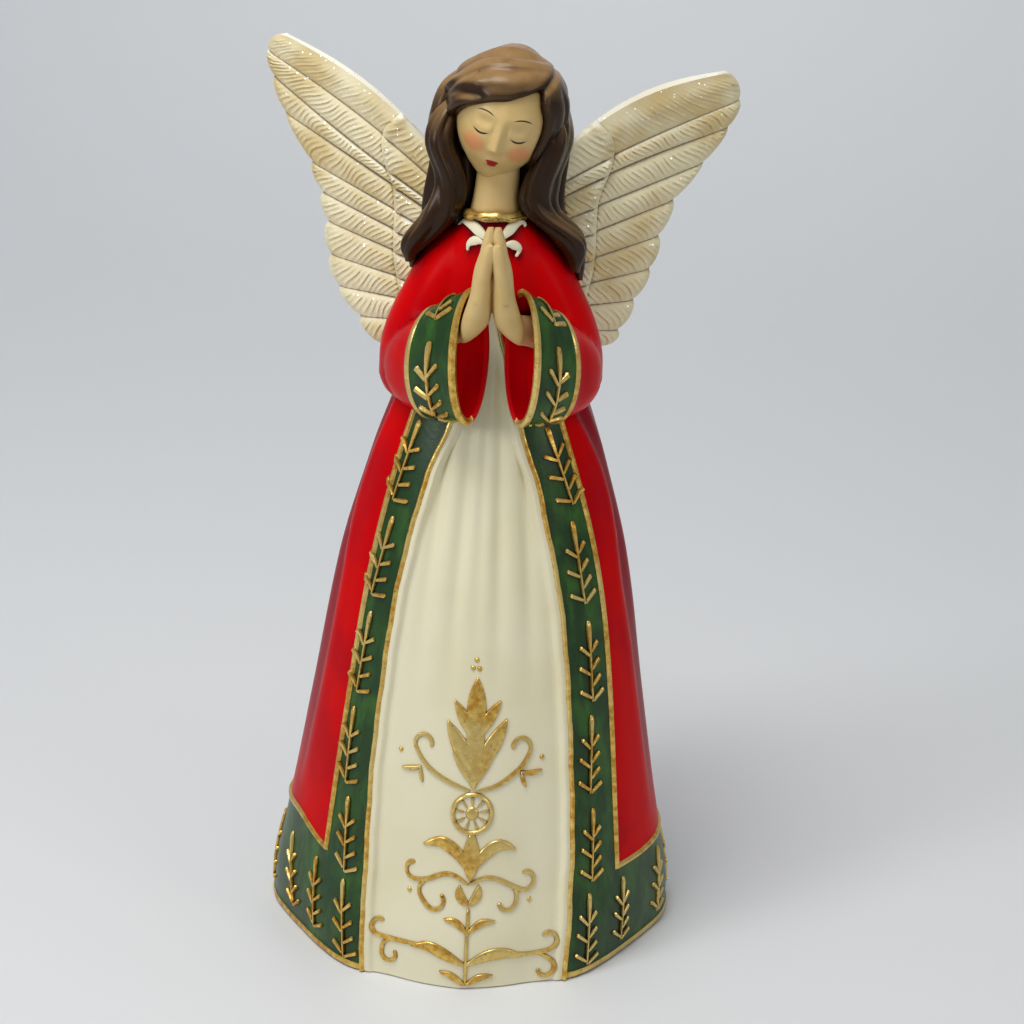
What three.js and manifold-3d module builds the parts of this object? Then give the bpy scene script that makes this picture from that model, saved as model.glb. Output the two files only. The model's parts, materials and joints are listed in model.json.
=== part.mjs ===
// A praying angel figurine, cast in one piece of resin.
// Millimetres, +Z up. The figure faces -Y, and the origin is the middle of its flat underside.
import * as THREE from "three";
import { mergeVertices } from "three/addons/utils/BufferGeometryUtils.js";
import Module from "manifold-3d";

const wasm = await Module();
wasm.setup();

// Driving dimensions
const BASE_HALF_WIDTH = 68.9;
const BODY_HALF_WIDTH = [
  [0, BASE_HALF_WIDTH],
  [16, 68],
  [32, 64.8],
  [80, 56.8],
  [133, 47.8],
  [167, 38.6],
  [190, 30.5],
  [212, 24],
  [228, 21],
  [240, 16],
  [247, 10.4],
  [251, 5.8],
];
const BODY_DEPTH_SHARE = [
  [0, 0.88],
  [80, 0.86],
  [133, 0.84],
  [190, 0.82],
  [228, 0.8],
  [245, 0.82],
  [251, 1],
];
const BODY_CENTRE_X = [
  [0, -0.9],
  [30, -0.6],
  [110, 0.3],
  [230, 1.4],
  [251, 2],
];
const BODY_CENTRE_Y = [
  [0, 0],
  [190, 0],
  [228, -3],
  [251, -7.5],
];
// The plan is no plain ellipse: the coat's front edges stand out, and its sides are flatter.
const PLAN_SHARE = [
  [0, 1.025],
  [11, 1.005],
  [20, 0.99],
  [29, 1.01],
  [36, 1],
  [46, 0.965],
  [58, 0.94],
  [70, 0.95],
  [83, 0.99],
  [96, 1.01],
  [130, 1],
  [180, 1],
];
const PLAN_FADE = [
  [0, 1],
  [34, 0.6],
  [120, 0.15],
  [180, 0],
];
// The golden lines, in degrees round the body from the front at a height: -1 is the left side.
const PANEL_LINE = {
  "-1": [
    [0, 28.1],
    [15, 28.9],
    [42, 31.1],
    [72, 33.3],
    [99, 33.7],
    [126, 33.1],
    [150, 30.7],
    [169, 27.1],
    [184, 20.4],
    [200, 13.5],
  ],
  1: [
    [0, 29.7],
    [21, 31.6],
    [45, 34],
    [75, 34.9],
    [102, 34.8],
    [129, 33.2],
    [148, 30.2],
    [167, 26.6],
    [182, 20.5],
    [200, 13.5],
  ],
};
const COAT_LINE = {
  "-1": [
    [33, 49.3],
    [133, 48.6],
    [169, 48],
    [184, 47.2],
  ],
  1: [
    [32, 53.8],
    [63, 54.8],
    [91, 55.8],
    [118, 55.6],
    [139, 54.1],
    [155, 52.3],
    [184, 47.2],
  ],
};
// Height of the golden line over the green hem band, at an angle round the body.
const HEM_LINE = [
  [-180, 36],
  [-90, 39],
  [-70, 40],
  [-49, 36],
  [0, 34],
  [54, 32.4],
  [79, 31.9],
  [180, 36],
];
// The upright pleat in each red side field, in degrees round the body at a height.
const PLEAT_LINE = {
  "-1": [
    [40, 75],
    [88, 72],
    [126, 71],
    [156, 78],
    [184, 75],
  ],
  1: [
    [40, 80],
    [100, 77],
    [129, 73],
    [162, 77],
    [186, 62],
  ],
};
const PLEAT_DEPTH = 1.6;
const PLEAT_WIDTH = 3;
const BACK_FOLD_DEPTH = 0.9;
const BACK_FOLDS_FROM = 22;
const GOWN_PLEATS = [8.5, 21];
const GOWN_PLEAT_DEPTH = 1.5;
const GOWN_PLEAT_HALF = 3.2;
const PIPING = 0.9;
const PIPING_HALF = 1;
const COAT_PIPING_HALF = 1.15;
const PANEL_RECESS = 2;
const PANEL_LEDGE = 2.4;
const LEDGE_STEP = 1.6;

const degrees = (value) => (value * Math.PI) / 180;

// A smooth curve through a few (place, value) pairs.
function keyed(pairs) {
  const last = pairs.length - 1;
  const slopes = pairs.map((_, i) => {
    const before = pairs[Math.max(i - 1, 0)];
    const after = pairs[Math.min(i + 1, last)];
    return (after[1] - before[1]) / (after[0] - before[0]);
  });
  return (place) => {
    if (place <= pairs[0][0]) return pairs[0][1];
    if (place >= pairs[last][0]) return pairs[last][1];
    const i = pairs.findIndex((pair) => pair[0] > place) - 1;
    const [x0, y0] = pairs[i];
    const [x1, y1] = pairs[i + 1];
    const width = x1 - x0;
    const t = (place - x0) / width;
    const rise = t * t * (3 - 2 * t);
    const leave = t * (1 - t) * (1 - t) * width * slopes[i];
    const arrive = t * t * (t - 1) * width * slopes[i + 1];
    return y0 + (y1 - y0) * rise + leave + arrive;
  };
}

// A closed geometry as a solid that can be joined and cut.
function solid(geometry) {
  const plain = geometry.clone();
  plain.deleteAttribute("normal");
  plain.deleteAttribute("uv");
  const merged = mergeVertices(plain, 1e-4);
  const triVerts = new Uint32Array(merged.index.array);
  const vertProperties = merged.attributes.position.array;
  const made = new wasm.Manifold(
    new wasm.Mesh({ numProp: 3, vertProperties, triVerts }),
  );
  if (made.volume() > 0) return made;
  for (let i = 0; i < triVerts.length; i += 3) {
    [triVerts[i], triVerts[i + 1]] = [triVerts[i + 1], triVerts[i]];
  }
  return new wasm.Manifold(
    new wasm.Mesh({ numProp: 3, vertProperties, triVerts }),
  );
}

// Moves each vertex of a geometry to the place that a function gives for it.
function reshape(geometry, place) {
  const position = geometry.attributes.position;
  for (let i = 0; i < position.count; i += 1) {
    const point = place(
      new THREE.Vector3().fromBufferAttribute(position, i),
    );
    position.setXYZ(i, point.x, point.y, point.z);
  }
  return geometry;
}

// A closed tube. section(t) gives its centre, its two half-axes as vectors, and t runs from 0 to 1.
function loft(sides, rings, section) {
  const geometry = new THREE.CylinderGeometry(1, 1, 1, sides, rings);
  return solid(
    reshape(geometry, (point) => {
      const { centre, across, up } = section(point.y + 0.5);
      return centre.addScaledVector(across, point.x).addScaledVector(up, point.z);
    }),
  );
}

const halfWidth = keyed(BODY_HALF_WIDTH);
const depthShare = keyed(BODY_DEPTH_SHARE);
const centreX = keyed(BODY_CENTRE_X);
const centreY = keyed(BODY_CENTRE_Y);
const planShare = keyed(PLAN_SHARE);
const planFade = keyed(PLAN_FADE);
const panelLine = { "-1": keyed(PANEL_LINE[-1]), 1: keyed(PANEL_LINE[1]) };
const coatLine = { "-1": keyed(COAT_LINE[-1]), 1: keyed(COAT_LINE[1]) };
const pleatLine = { "-1": keyed(PLEAT_LINE[-1]), 1: keyed(PLEAT_LINE[1]) };
const hemLine = keyed(HEM_LINE);

const { clamp, lerp, smoothstep } = THREE.MathUtils;

// A narrow rounded ridge, 1 on its line and 0 at its half-width.
const ridge = (distance, half) => Math.sqrt(Math.max(0, 1 - (distance / half) ** 2));

// A soft bell, 1 at its middle and near 0 at twice its half-width.
const bump = (distance, half) => Math.exp(-((distance / half) ** 2));

// Length of one degree round the body, in millimetres.
const arcOfDegree = (z) => degrees(1) * halfWidth(z);

// An upright pleat in each side of the coat, and soft folds round its back.
function fieldFolds(turn, z, side) {
  const past = (turn - pleatLine[side](z)) * arcOfDegree(z);
  const swell = Math.sin(Math.PI * clamp((z - 36) / 190, 0, 1));
  const pleat = -PLEAT_DEPTH * smoothstep(past, -0.5, PLEAT_WIDTH) * smoothstep(-past, -20, -7);
  const back = smoothstep(turn - pleatLine[side](z), BACK_FOLDS_FROM, BACK_FOLDS_FROM + 16);
  return swell * (pleat + back * BACK_FOLD_DEPTH * Math.cos(degrees((turn - 104) * 11)));
}

// Soft upright pleats in the upper half of the gown.
function gownPleats(turn, z) {
  const valleys = GOWN_PLEATS.reduce((sum, at) => sum + bump(turn - at, GOWN_PLEAT_HALF), 0);
  return -GOWN_PLEAT_DEPTH * smoothstep(z, 84, 150) * valleys;
}

// How far the carved surface stands off the plain body, in millimetres.
function bodyRelief(angle, z) {
  const side = angle < 0 ? -1 : 1;
  const turn = Math.abs(angle);
  const arc = arcOfDegree(z);
  const fromPanel = (turn - panelLine[side](z)) * arc;
  const fromCoat = (turn - coatLine[side](z)) * arc;
  const above = z - hemLine(angle);
  const field = smoothstep(-fromPanel, PANEL_LEDGE, PANEL_LEDGE + LEDGE_STEP);
  let relief = -PANEL_RECESS * field * Math.min(1, z / 60 + 0.5);
  relief += field * gownPleats(turn, z);
  relief += PIPING * ridge(fromPanel, PIPING_HALF);
  if (above > 0) {
    relief += PIPING * ridge(fromCoat, COAT_PIPING_HALF);
    relief += smoothstep(fromCoat, 0.5, 6) * smoothstep(above, 0.5, 14) * fieldFolds(turn, z, side);
  }
  if (fromCoat > 0) relief += PIPING * ridge(above, PIPING_HALF);
  return relief;
}

// A point of the body at an angle from the front, in degrees towards +X, and a height.
function bodyPoint(angle, z, out = 0) {
  const plan = 1 + (planShare(Math.abs(angle)) - 1) * planFade(z);
  const a = halfWidth(z) * plan;
  const b = a * depthShare(z);
  const normal = new THREE.Vector3(
    Math.sin(degrees(angle)) * b,
    -Math.cos(degrees(angle)) * a,
    0,
  ).normalize();
  return new THREE.Vector3(
    centreX(z) + a * Math.sin(degrees(angle)),
    centreY(z) - b * Math.cos(degrees(angle)),
    z,
  ).addScaledVector(normal, out);
}

// Angles of the body's columns at a height: close together on the golden lines and the pleat.
function columnAngles(z, side) {
  const panel = panelLine[side](z);
  const coat = coatLine[side](z);
  const pleat = pleatLine[side](z);
  const mm = 1 / arcOfDegree(z);
  return [
    0,
    panel * 0.28,
    panel * 0.5,
    panel * 0.7,
    panel - (PANEL_LEDGE + LEDGE_STEP) * mm,
    panel - PANEL_LEDGE * mm,
    panel - PIPING_HALF * mm,
    panel,
    panel + PIPING_HALF * mm,
    lerp(panel, coat, 0.5),
    coat - COAT_PIPING_HALF * mm,
    coat,
    coat + COAT_PIPING_HALF * mm,
    lerp(coat, pleat, 0.5),
    pleat - 0.5 * mm,
    pleat + PLEAT_WIDTH * mm,
    lerp(pleat, 110, 0.5),
    112,
    128,
    146,
    163,
    180,
  ];
}

const BODY_ROWS = [
  0, 0.9, 2.6, 4, 18, "under", "line", "over", 58, 80, 102, 122, 140, 158, 172, 184, 198, 212, 228,
  240, 247, 251,
];
const HEM_ROUNDING = 0.8;
const HEM_BEAD = 0.4;
const HEM_BEAD_HEIGHT = 2.6;

function rowHeight(row, angle) {
  if (row === "under") return hemLine(angle) - PIPING_HALF;
  if (row === "line") return hemLine(angle);
  if (row === "over") return hemLine(angle) + PIPING_HALF;
  return row;
}

// The gown, coat and bodice from the floor to the neck.
function body() {
  const perSide = columnAngles(0, 1).length - 1;
  const rows = BODY_ROWS.length - 1;
  const geometry = new THREE.CylinderGeometry(1, 1, 1, perSide * 2, rows);
  return solid(
    reshape(geometry, (point) => {
      const row = BODY_ROWS[Math.round((point.y + 0.5) * rows)];
      const turn = Math.atan2(point.x, point.z) / Math.PI;
      const side = turn < 0 ? -1 : 1;
      const column = Math.round(Math.abs(turn) * perSide);
      const first = side * columnAngles(rowHeight(row, 0), side)[column];
      const angle = side * columnAngles(rowHeight(row, first), side)[column];
      const z = rowHeight(row, angle);
      if (Math.hypot(point.x, point.z) < 0.5) {
        return new THREE.Vector3(centreX(z), centreY(z), z);
      }
      const bead = HEM_BEAD * ridge(z - HEM_BEAD_HEIGHT, 2.5);
      return bodyPoint(angle, z, bodyRelief(angle, z) + (row === 0 ? -HEM_ROUNDING : bead));
    }),
  );
}

// Upper arms and bell sleeves
const ARM_HEIGHTS = [184, 241];
const ARM_OUT = [
  [184, 20],
  [190, 24],
  [200, 25.2],
  [212, 22.6],
  [227, 15.9],
  [238, 9.6],
  [241, 8],
];
const ARM_RADIUS = [
  [184, 6],
  [187, 9.6],
  [200, 10.9],
  [227, 10.8],
  [237, 9],
  [241, 3],
];
const ARM_CENTRE_X = 1.6;
const ARM_CENTRE_Y = -3.5;
const ARM_DEPTH_SHARE = 1.15;
const LEFT_ELBOW = 1.2;
const SLEEVE_CENTRE_X = [
  [0, 1.7],
  [0.62, 2.7],
  [1, 3.9],
];
const SLEEVE_OUT = [
  [0, 22],
  [0.35, 24.4],
  [0.62, 19.2],
  [0.8, 13.9],
  [1, 7.8],
];
const SLEEVE_Y = [
  [0, 3],
  [0.35, -11],
  [0.62, -24.2],
  [0.8, -30.4],
  [1, -36],
];
const SLEEVE_TURN = [
  [0, 2],
  [0.35, 14],
  [0.62, 37],
  [0.8, 46],
  [1, 50],
];
const SLEEVE_HALF = [
  [0, 8],
  [0.35, 11],
  [0.62, 9.6],
  [0.8, 8.8],
  [1, 7.8],
];
const SLEEVE_TOP = [
  [0, 207],
  [0.35, 213],
  [0.62, 221.5],
  [0.8, 227],
  [1, 231.2],
];
const SLEEVE_BOTTOM = [
  [0, 189],
  [0.35, 185.5],
  [0.62, 186],
  [0.8, 187],
  [1, 188],
];
const SLEEVE_WALL = 1.7;
const SLEEVE_HOLLOW = 6;
// Stops along a sleeve, and how far its golden lines stand off it there
const SLEEVE_STOPS = [0, 0.2, 0.38, 0.5, 0.6, 0.62, 0.64, 0.8, 0.96, 1];
const SLEEVE_LIFTS = [0, 0, 0, 0, 0, PIPING, 0, 0, PIPING, 0.5];

function upperArm(side) {
  const out = keyed(ARM_OUT);
  const radius = keyed(ARM_RADIUS);
  return loft(14, 6, (t) => {
    const z = lerp(ARM_HEIGHTS[0], ARM_HEIGHTS[1], t);
    return {
      centre: new THREE.Vector3(ARM_CENTRE_X + side * out(z), ARM_CENTRE_Y, z),
      across: new THREE.Vector3(radius(z) + (side < 0 ? LEFT_ELBOW : 0), 0, 0),
      up: new THREE.Vector3(0, radius(z) * ARM_DEPTH_SHARE, 0),
    };
  });
}

// The frame of a sleeve's section: t is 0 in the body and 1 at the open edge.
function sleeveFrame(side, t) {
  const turn = degrees(keyed(SLEEVE_TURN)(t));
  const top = keyed(SLEEVE_TOP)(t);
  const bottom = keyed(SLEEVE_BOTTOM)(t);
  return {
    centre: new THREE.Vector3(
      keyed(SLEEVE_CENTRE_X)(t) + side * keyed(SLEEVE_OUT)(t),
      keyed(SLEEVE_Y)(t),
      (top + bottom) / 2,
    ),
    half: keyed(SLEEVE_HALF)(t),
    height: (top - bottom) / 2,
    sideways: new THREE.Vector3(side * Math.cos(turn), -Math.sin(turn), 0),
    along: new THREE.Vector3(-side * Math.sin(turn), -Math.cos(turn), 0),
  };
}

function bellSleeve(side) {
  const rings = SLEEVE_STOPS.length - 1;
  const outer = loft(20, rings, (t) => {
    const index = Math.round(t * rings);
    const frame = sleeveFrame(side, SLEEVE_STOPS[index]);
    return {
      centre: frame.centre,
      across: frame.sideways.clone().multiplyScalar(frame.half + SLEEVE_LIFTS[index]),
      up: new THREE.Vector3(0, 0, frame.height + SLEEVE_LIFTS[index]),
    };
  });
  const rim = sleeveFrame(side, 1);
  const hollow = loft(16, 2, (t) => ({
    centre: rim.centre.clone().addScaledVector(rim.along, lerp(-SLEEVE_HOLLOW, 2, t)),
    across: rim.sideways.clone().multiplyScalar((rim.half - SLEEVE_WALL) * lerp(0.55, 1, t)),
    up: new THREE.Vector3(0, 0, (rim.height - SLEEVE_WALL) * lerp(0.8, 1, t)),
  }));
  return { outer, hollow };
}

// Hands laid palm to palm, fingers up
const HANDS_X = 2.5;
const HAND_HEIGHTS = [210.5, 249];
const PALM_OUT = [
  [210.5, 8.2],
  [215, 6.2],
  [219, 4.4],
  [223, 3.4],
  [231, 3.1],
  [240, 2.7],
  [249, 1.3],
];
const PALM_Y = [
  [210.5, -33],
  [217, -37.6],
  [228, -41],
  [249, -42.4],
];
const PALM_THICK = [
  [210.5, 0.9],
  [214, 2.2],
  [219, 3.5],
  [223, 3.5],
  [231, 3.4],
  [240, 3],
  [249, 1],
];
const PALM_BROAD = [
  [210.5, 2.4],
  [216, 4.8],
  [228, 5.6],
  [240, 4.8],
  [249, 2.4],
];
// Fingers of one hand, as the distance of each from the front, the height of its tip, and its radius
const FINGERS = [
  { y: -46, tip: 248, radius: 2.5 },
  { y: -43.4, tip: 252, radius: 2.5 },
  { y: -40.6, tip: 251.4, radius: 2.4 },
];
const FINGER_ROOT = 231;
const FINGER_ROOT_OUT = 4;
const FINGER_TIP_OUT = 1.2;

function finger(side, { y, tip, radius }) {
  return loft(7, 4, (t) => {
    const round = radius * Math.sqrt(1 - (0.93 * t) ** 4);
    const out = lerp(FINGER_ROOT_OUT, FINGER_TIP_OUT, t);
    return {
      centre: new THREE.Vector3(HANDS_X + side * out, y + 1.6 * (1 - t), lerp(FINGER_ROOT, tip, t)),
      across: new THREE.Vector3(round, 0, 0),
      up: new THREE.Vector3(0, round, 0),
    };
  });
}

function hand(side) {
  const palm = loft(10, 6, (t) => {
    const z = lerp(HAND_HEIGHTS[0], HAND_HEIGHTS[1], t);
    return {
      centre: new THREE.Vector3(HANDS_X + side * keyed(PALM_OUT)(z), keyed(PALM_Y)(z), z),
      across: new THREE.Vector3(keyed(PALM_THICK)(z), 0, 0),
      up: new THREE.Vector3(0, keyed(PALM_BROAD)(z), 0),
    };
  });
  return FINGERS.reduce((whole, each) => whole.add(finger(side, each)), palm);
}

// Head, neck and collar
const HEAD_CENTRE = new THREE.Vector3(3.2, -6.5, 279.8);
const HEAD_RADII = new THREE.Vector3(15, 16.6, 19);
const HEAD_TILT = 14;
const HEAD_BOW = 9;
const HEAD_DROP = 21.4;
const JAW = [
  [-1, 0.56],
  [-0.75, 0.78],
  [-0.4, 0.96],
  [0, 1],
  [1, 1],
];
const CHIN_DEPTH_SHARE = 0.93;
const NOSE_ROOT = 2.6;
const NOSE_TIP = -6.6;
const NOSE_RISE = 0.9;
const NOSE_HALF = 1.6;
const NECK_RADIUS = 6.7;
const NECK_FLARE = 2.4;
const NECK_HEIGHTS = [245, 268];
const COLLAR_CENTRE = new THREE.Vector3(1.1, -8.1, 248.4);
const COLLAR_TIP = 7;
const COLLAR_RADIUS = 8.6;
const COLLAR_HALF_THICKNESS = 1.7;
const COLLAR_HALF_HEIGHT = 1.4;

// Turns a place in the head's own frame, with its face towards -Y, into the figure's frame.
function headPlace(point) {
  return point
    .applyAxisAngle(new THREE.Vector3(1, 0, 0), degrees(HEAD_BOW))
    .applyAxisAngle(new THREE.Vector3(0, 1, 0), degrees(HEAD_TILT))
    .add(HEAD_CENTRE);
}

function head() {
  const jaw = keyed(JAW);
  const skull = new THREE.SphereGeometry(1, 18, 13).rotateX(Math.PI / 2);
  const skullSolid = solid(
    reshape(skull, (point) => {
      const deep = lerp(1, CHIN_DEPTH_SHARE, smoothstep(-point.z, 0.3, 1));
      return headPlace(
        new THREE.Vector3(
          point.x * HEAD_RADII.x * jaw(point.z),
          point.y * HEAD_RADII.y * deep,
          point.z * (point.z < 0 ? HEAD_DROP : HEAD_RADII.z),
        ),
      );
    }),
  );
  const nose = loft(6, 2, (t) => ({
    centre: headPlace(
      new THREE.Vector3(0, -HEAD_RADII.y - lerp(NOSE_RISE, 0, t), lerp(NOSE_TIP, NOSE_ROOT, t)),
    ),
    across: new THREE.Vector3(NOSE_HALF * lerp(1, 0.6, t), 0, 0),
    up: new THREE.Vector3(0, NOSE_HALF, 0),
  }));
  return skullSolid.add(nose);
}

function neck() {
  return loft(14, 3, (t) => {
    const radius = NECK_RADIUS + NECK_FLARE * (1 - t) ** 3;
    return {
      centre: new THREE.Vector3(1 + t, -8 + t, lerp(NECK_HEIGHTS[0], NECK_HEIGHTS[1], t)),
      across: new THREE.Vector3(radius, 0, 0),
      up: new THREE.Vector3(0, radius, 0),
    };
  });
}

function collar() {
  const ring = new THREE.TorusGeometry(COLLAR_RADIUS, COLLAR_HALF_THICKNESS, 6, 20)
    .scale(1, 1, COLLAR_HALF_HEIGHT / COLLAR_HALF_THICKNESS)
    .rotateX(degrees(-COLLAR_TIP));
  return solid(ring.translate(COLLAR_CENTRE.x, COLLAR_CENTRE.y, COLLAR_CENTRE.z));
}

// Hair: a cap cut open round the face, and locks that fall over the shoulders and the back
const CAP_CENTRE = new THREE.Vector3(2.6, -2.2, 279);
const CAP_RADII = new THREE.Vector3(18.6, 19.6, 21);
const FACE_OPENING = new THREE.Vector3(14.6, 14, 17.2);
const FACE_OPENING_AT = new THREE.Vector3(0.4, -17.5, -5.2);
// Each lock is a row of [x, y, z, half-width, half-thickness] from its top to its tip.
const LOCKS = [
  [
    [-11, -5, 287, 1, 1],
    [-15, -7, 280, 3.8, 4.5],
    [-16.6, -9, 271, 4.6, 6],
    [-13.4, -10, 259, 5.6, 5.4],
    [-15.6, -11, 249, 6, 4.6],
    [-22.6, -10, 240, 5, 3.6],
    [-26, -8, 232, 1, 1],
  ],
  [
    [-8, -1, 294, 2, 2],
    [-13, -1, 287, 5, 6.5],
    [-16, -1, 273, 5.2, 9],
    [-13, -2, 258, 4.8, 8.5],
    [-17.5, -3, 247, 5, 7],
    [-22.6, -3, 237, 3.8, 5],
    [-25, -3, 229, 1, 1.2],
  ],
  [
    [-4, 8, 293, 2, 2],
    [-9, 9, 284, 8, 7],
    [-11, 10, 268, 9, 7],
    [-13, 11, 250, 9, 6],
    [-14, 13, 236, 7, 5],
    [-12, 15, 222, 1.5, 1.5],
  ],
  [
    [3, 8, 296, 2, 2],
    [3, 12, 286, 9, 6],
    [3, 14, 268, 10, 6],
    [3, 15, 250, 9.5, 5],
    [2, 16, 234, 8, 4],
    [2, 18, 216, 1.5, 1.5],
  ],
  [
    [9, 8, 293, 2, 2],
    [13, 9, 284, 8, 7],
    [15, 10, 268, 9, 7],
    [17, 11, 250, 9, 6],
    [17, 13, 236, 7, 5],
    [15, 15, 221, 1.5, 1.5],
  ],
  [
    [12, -1, 294, 2, 2],
    [16.5, -1, 286, 4.6, 6.5],
    [19, -1, 271, 5.6, 9],
    [17.5, -2, 257, 5, 8.5],
    [21.5, -3, 247, 5, 7],
    [26.5, -3, 238, 3.8, 5],
    [28.6, -3, 227, 1, 1.2],
  ],
  [
    [13, -5, 287, 1, 1],
    [17, -7, 280, 3.8, 4.5],
    [18.4, -9, 271, 4.6, 6],
    [15.6, -10, 258, 5.4, 5.4],
    [17.5, -11, 249, 5.6, 4.6],
    [24, -11, 241, 4.8, 3.6],
    [27.5, -9, 231, 1, 1],
  ],
  [
    [-5, 2, 274, 3, 4],
    [-8.6, 0, 264, 4.8, 7.4],
    [-10, -1, 254, 4.8, 8],
    [-11.4, -3, 246, 4, 5],
    [-12, -3, 240, 1, 1],
  ],
  [
    [8.6, 2, 274, 3, 4],
    [12.2, 0, 264, 4.8, 7.4],
    [13.6, -1, 254, 4.8, 8],
    [15, -3, 246, 4, 5],
    [15.6, -3, 240, 1, 1],
  ],
];

function hairCap() {
  const cap = new THREE.SphereGeometry(1, 20, 12)
    .rotateX(Math.PI / 2)
    .scale(CAP_RADII.x, CAP_RADII.y, CAP_RADII.z)
    .translate(CAP_CENTRE.x, CAP_CENTRE.y, CAP_CENTRE.z);
  const opening = reshape(new THREE.SphereGeometry(1, 16, 10).rotateX(Math.PI / 2), (point) =>
    headPlace(point.multiply(FACE_OPENING).add(FACE_OPENING_AT)),
  );
  return solid(cap).subtract(solid(opening));
}

function lock(stops) {
  const last = stops.length - 1;
  const column = (index) => keyed(stops.map((stop, i) => [i / last, stop[index]]));
  const [x, y, z, wide, thick] = [0, 1, 2, 3, 4].map(column);
  return loft(8, 6, (t) => ({
    centre: new THREE.Vector3(x(t), y(t), z(t)),
    across: new THREE.Vector3(wide(t), 0, 0),
    up: new THREE.Vector3(0, thick(t), 0),
  }));
}

// Wings. Each crease between two feathers runs from its root to its end, given as distance from
// the middle and height, with a bow in the middle.
const CREASES = {
  "-1": [
    { root: [6, 249], end: [72, 293.6], bow: 6.6 },
    { root: [6, 243], end: [77.6, 287.6], bow: 3 },
    { root: [6, 239], end: [75.4, 279.5], bow: -2 },
    { root: [6, 236], end: [71.3, 268.2], bow: 0 },
    { root: [6, 231], end: [61.5, 253], bow: 0 },
    { root: [6, 226], end: [57.6, 243.6], bow: 0 },
    { root: [6, 221], end: [55.5, 234.3], bow: 0 },
    { root: [6, 216], end: [54.5, 223.4], bow: 0 },
    { root: [6, 212], end: [51.4, 213.3], bow: 0 },
    { root: [6, 208], end: [43.8, 204.4], bow: 0 },
    { root: [6, 202], end: [37.4, 196.4], bow: 0 },
  ],
  1: [
    { root: [6, 250], end: [73.4, 286.8], bow: 9 },
    { root: [6, 246], end: [78, 277.6], bow: 2 },
    { root: [6, 242], end: [74.7, 268.8], bow: 2 },
    { root: [6, 236], end: [67, 257.6], bow: 0 },
    { root: [6, 228], end: [57.6, 245.8], bow: 0 },
    { root: [6, 221], end: [53.3, 234.2], bow: 0 },
    { root: [6, 216], end: [50.8, 223.4], bow: 0 },
    { root: [6, 212], end: [46, 213.4], bow: 0 },
    { root: [6, 207], end: [41.3, 203.6], bow: 0 },
    { root: [6, 202], end: [38, 198.6], bow: 0 },
  ],
};
const WING_FRONT = 12;
const WING_SWEEP = 0.45;
const WING_LEAN = 0.08;
const WING_THICKNESS = 4.2;
const FEATHER_CROWN = 1.5;
const FEATHER_TIP = 2.4;
const COVERT_EDGE = [
  [205, 28],
  [226, 33],
  [250, 33.2],
  [259, 36],
  [266, 35],
  [270, 31],
];
const COVERT_HEIGHTS = [206, 270.5];
const COVERT_HALF_THICKNESS = 4;
// Stops along a feather from the wing's root to its end
const FEATHER_STOPS = [0, 0.38, 0.75, 0.92, 1];
const ROWS_PER_FEATHER = 4;

// Front face of a wing at a distance from the middle and a height.
const wingFront = (out, z) => WING_FRONT + WING_SWEEP * (out - 12) + WING_LEAN * (z - 245);

function creasePoint(crease, t) {
  const out = lerp(crease.root[0], crease.end[0], t);
  const z = lerp(crease.root[1], crease.end[1], t);
  return new THREE.Vector2(out, z + crease.bow * Math.sin(Math.PI * t));
}

function wing(side) {
  const creases = CREASES[side];
  const feathers = creases.length - 1;
  const stops = FEATHER_STOPS.length - 1;
  const box = new THREE.BoxGeometry(1, 1, 1, stops, feathers * ROWS_PER_FEATHER, 1);
  return solid(
    reshape(box, (point) => {
      const t = FEATHER_STOPS[Math.round((point.x + 0.5) * stops)];
      const across = (0.5 - point.y) * feathers;
      const index = Math.min(Math.floor(across + 1e-6), feathers - 1);
      const share = across - index;
      const upper = creasePoint(creases[index], t);
      const lower = creasePoint(creases[index + 1], t);
      const along = creasePoint(creases[index], 1).sub(creasePoint(creases[index], 0)).normalize();
      const crown = Math.max(0, Math.sin(Math.PI * share));
      const tip = FEATHER_TIP * Math.sqrt(crown) * smoothstep(t, 0.75, 1);
      const place = upper.lerp(lower, share).addScaledVector(along, tip);
      const thin = lerp(1, 0.55, smoothstep(t, 0.6, 1));
      const front = wingFront(place.x, place.y) - FEATHER_CROWN * crown * thin;
      const back = wingFront(place.x, place.y) + WING_THICKNESS * thin + 0.6 * crown;
      return new THREE.Vector3(side * place.x, point.z > 0 ? back : front, place.y);
    }),
  );
}

// The short feathers over a wing's root, as one raised pad.
function coverts(side) {
  const edge = keyed(COVERT_EDGE);
  return loft(10, 8, (t) => {
    const z = lerp(COVERT_HEIGHTS[0], COVERT_HEIGHTS[1], t);
    const out = edge(z);
    const inner = lerp(8, 20, smoothstep(z, 250, COVERT_HEIGHTS[1]));
    const close = Math.sqrt(Math.max(0.04, 1 - (2 * t - 1) ** 8));
    const middle = (out + inner) / 2;
    const half = ((out - inner) / 2) * close;
    return {
      centre: new THREE.Vector3(side * middle, wingFront(middle, z) + 0.8, z),
      across: new THREE.Vector3(side * half, half * WING_SWEEP, 0),
      up: new THREE.Vector3(0, COVERT_HALF_THICKNESS * close, 0),
    };
  });
}

// The back of the bodice that carries the wings.
const BACK_HEIGHTS = [196, 256];
const BACK_CENTRE = [1.4, 8];
const BACK_HALF_WIDTHS = [23, 17];
const BACK_HALF_DEPTHS = [9.5, 7.5];

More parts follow.
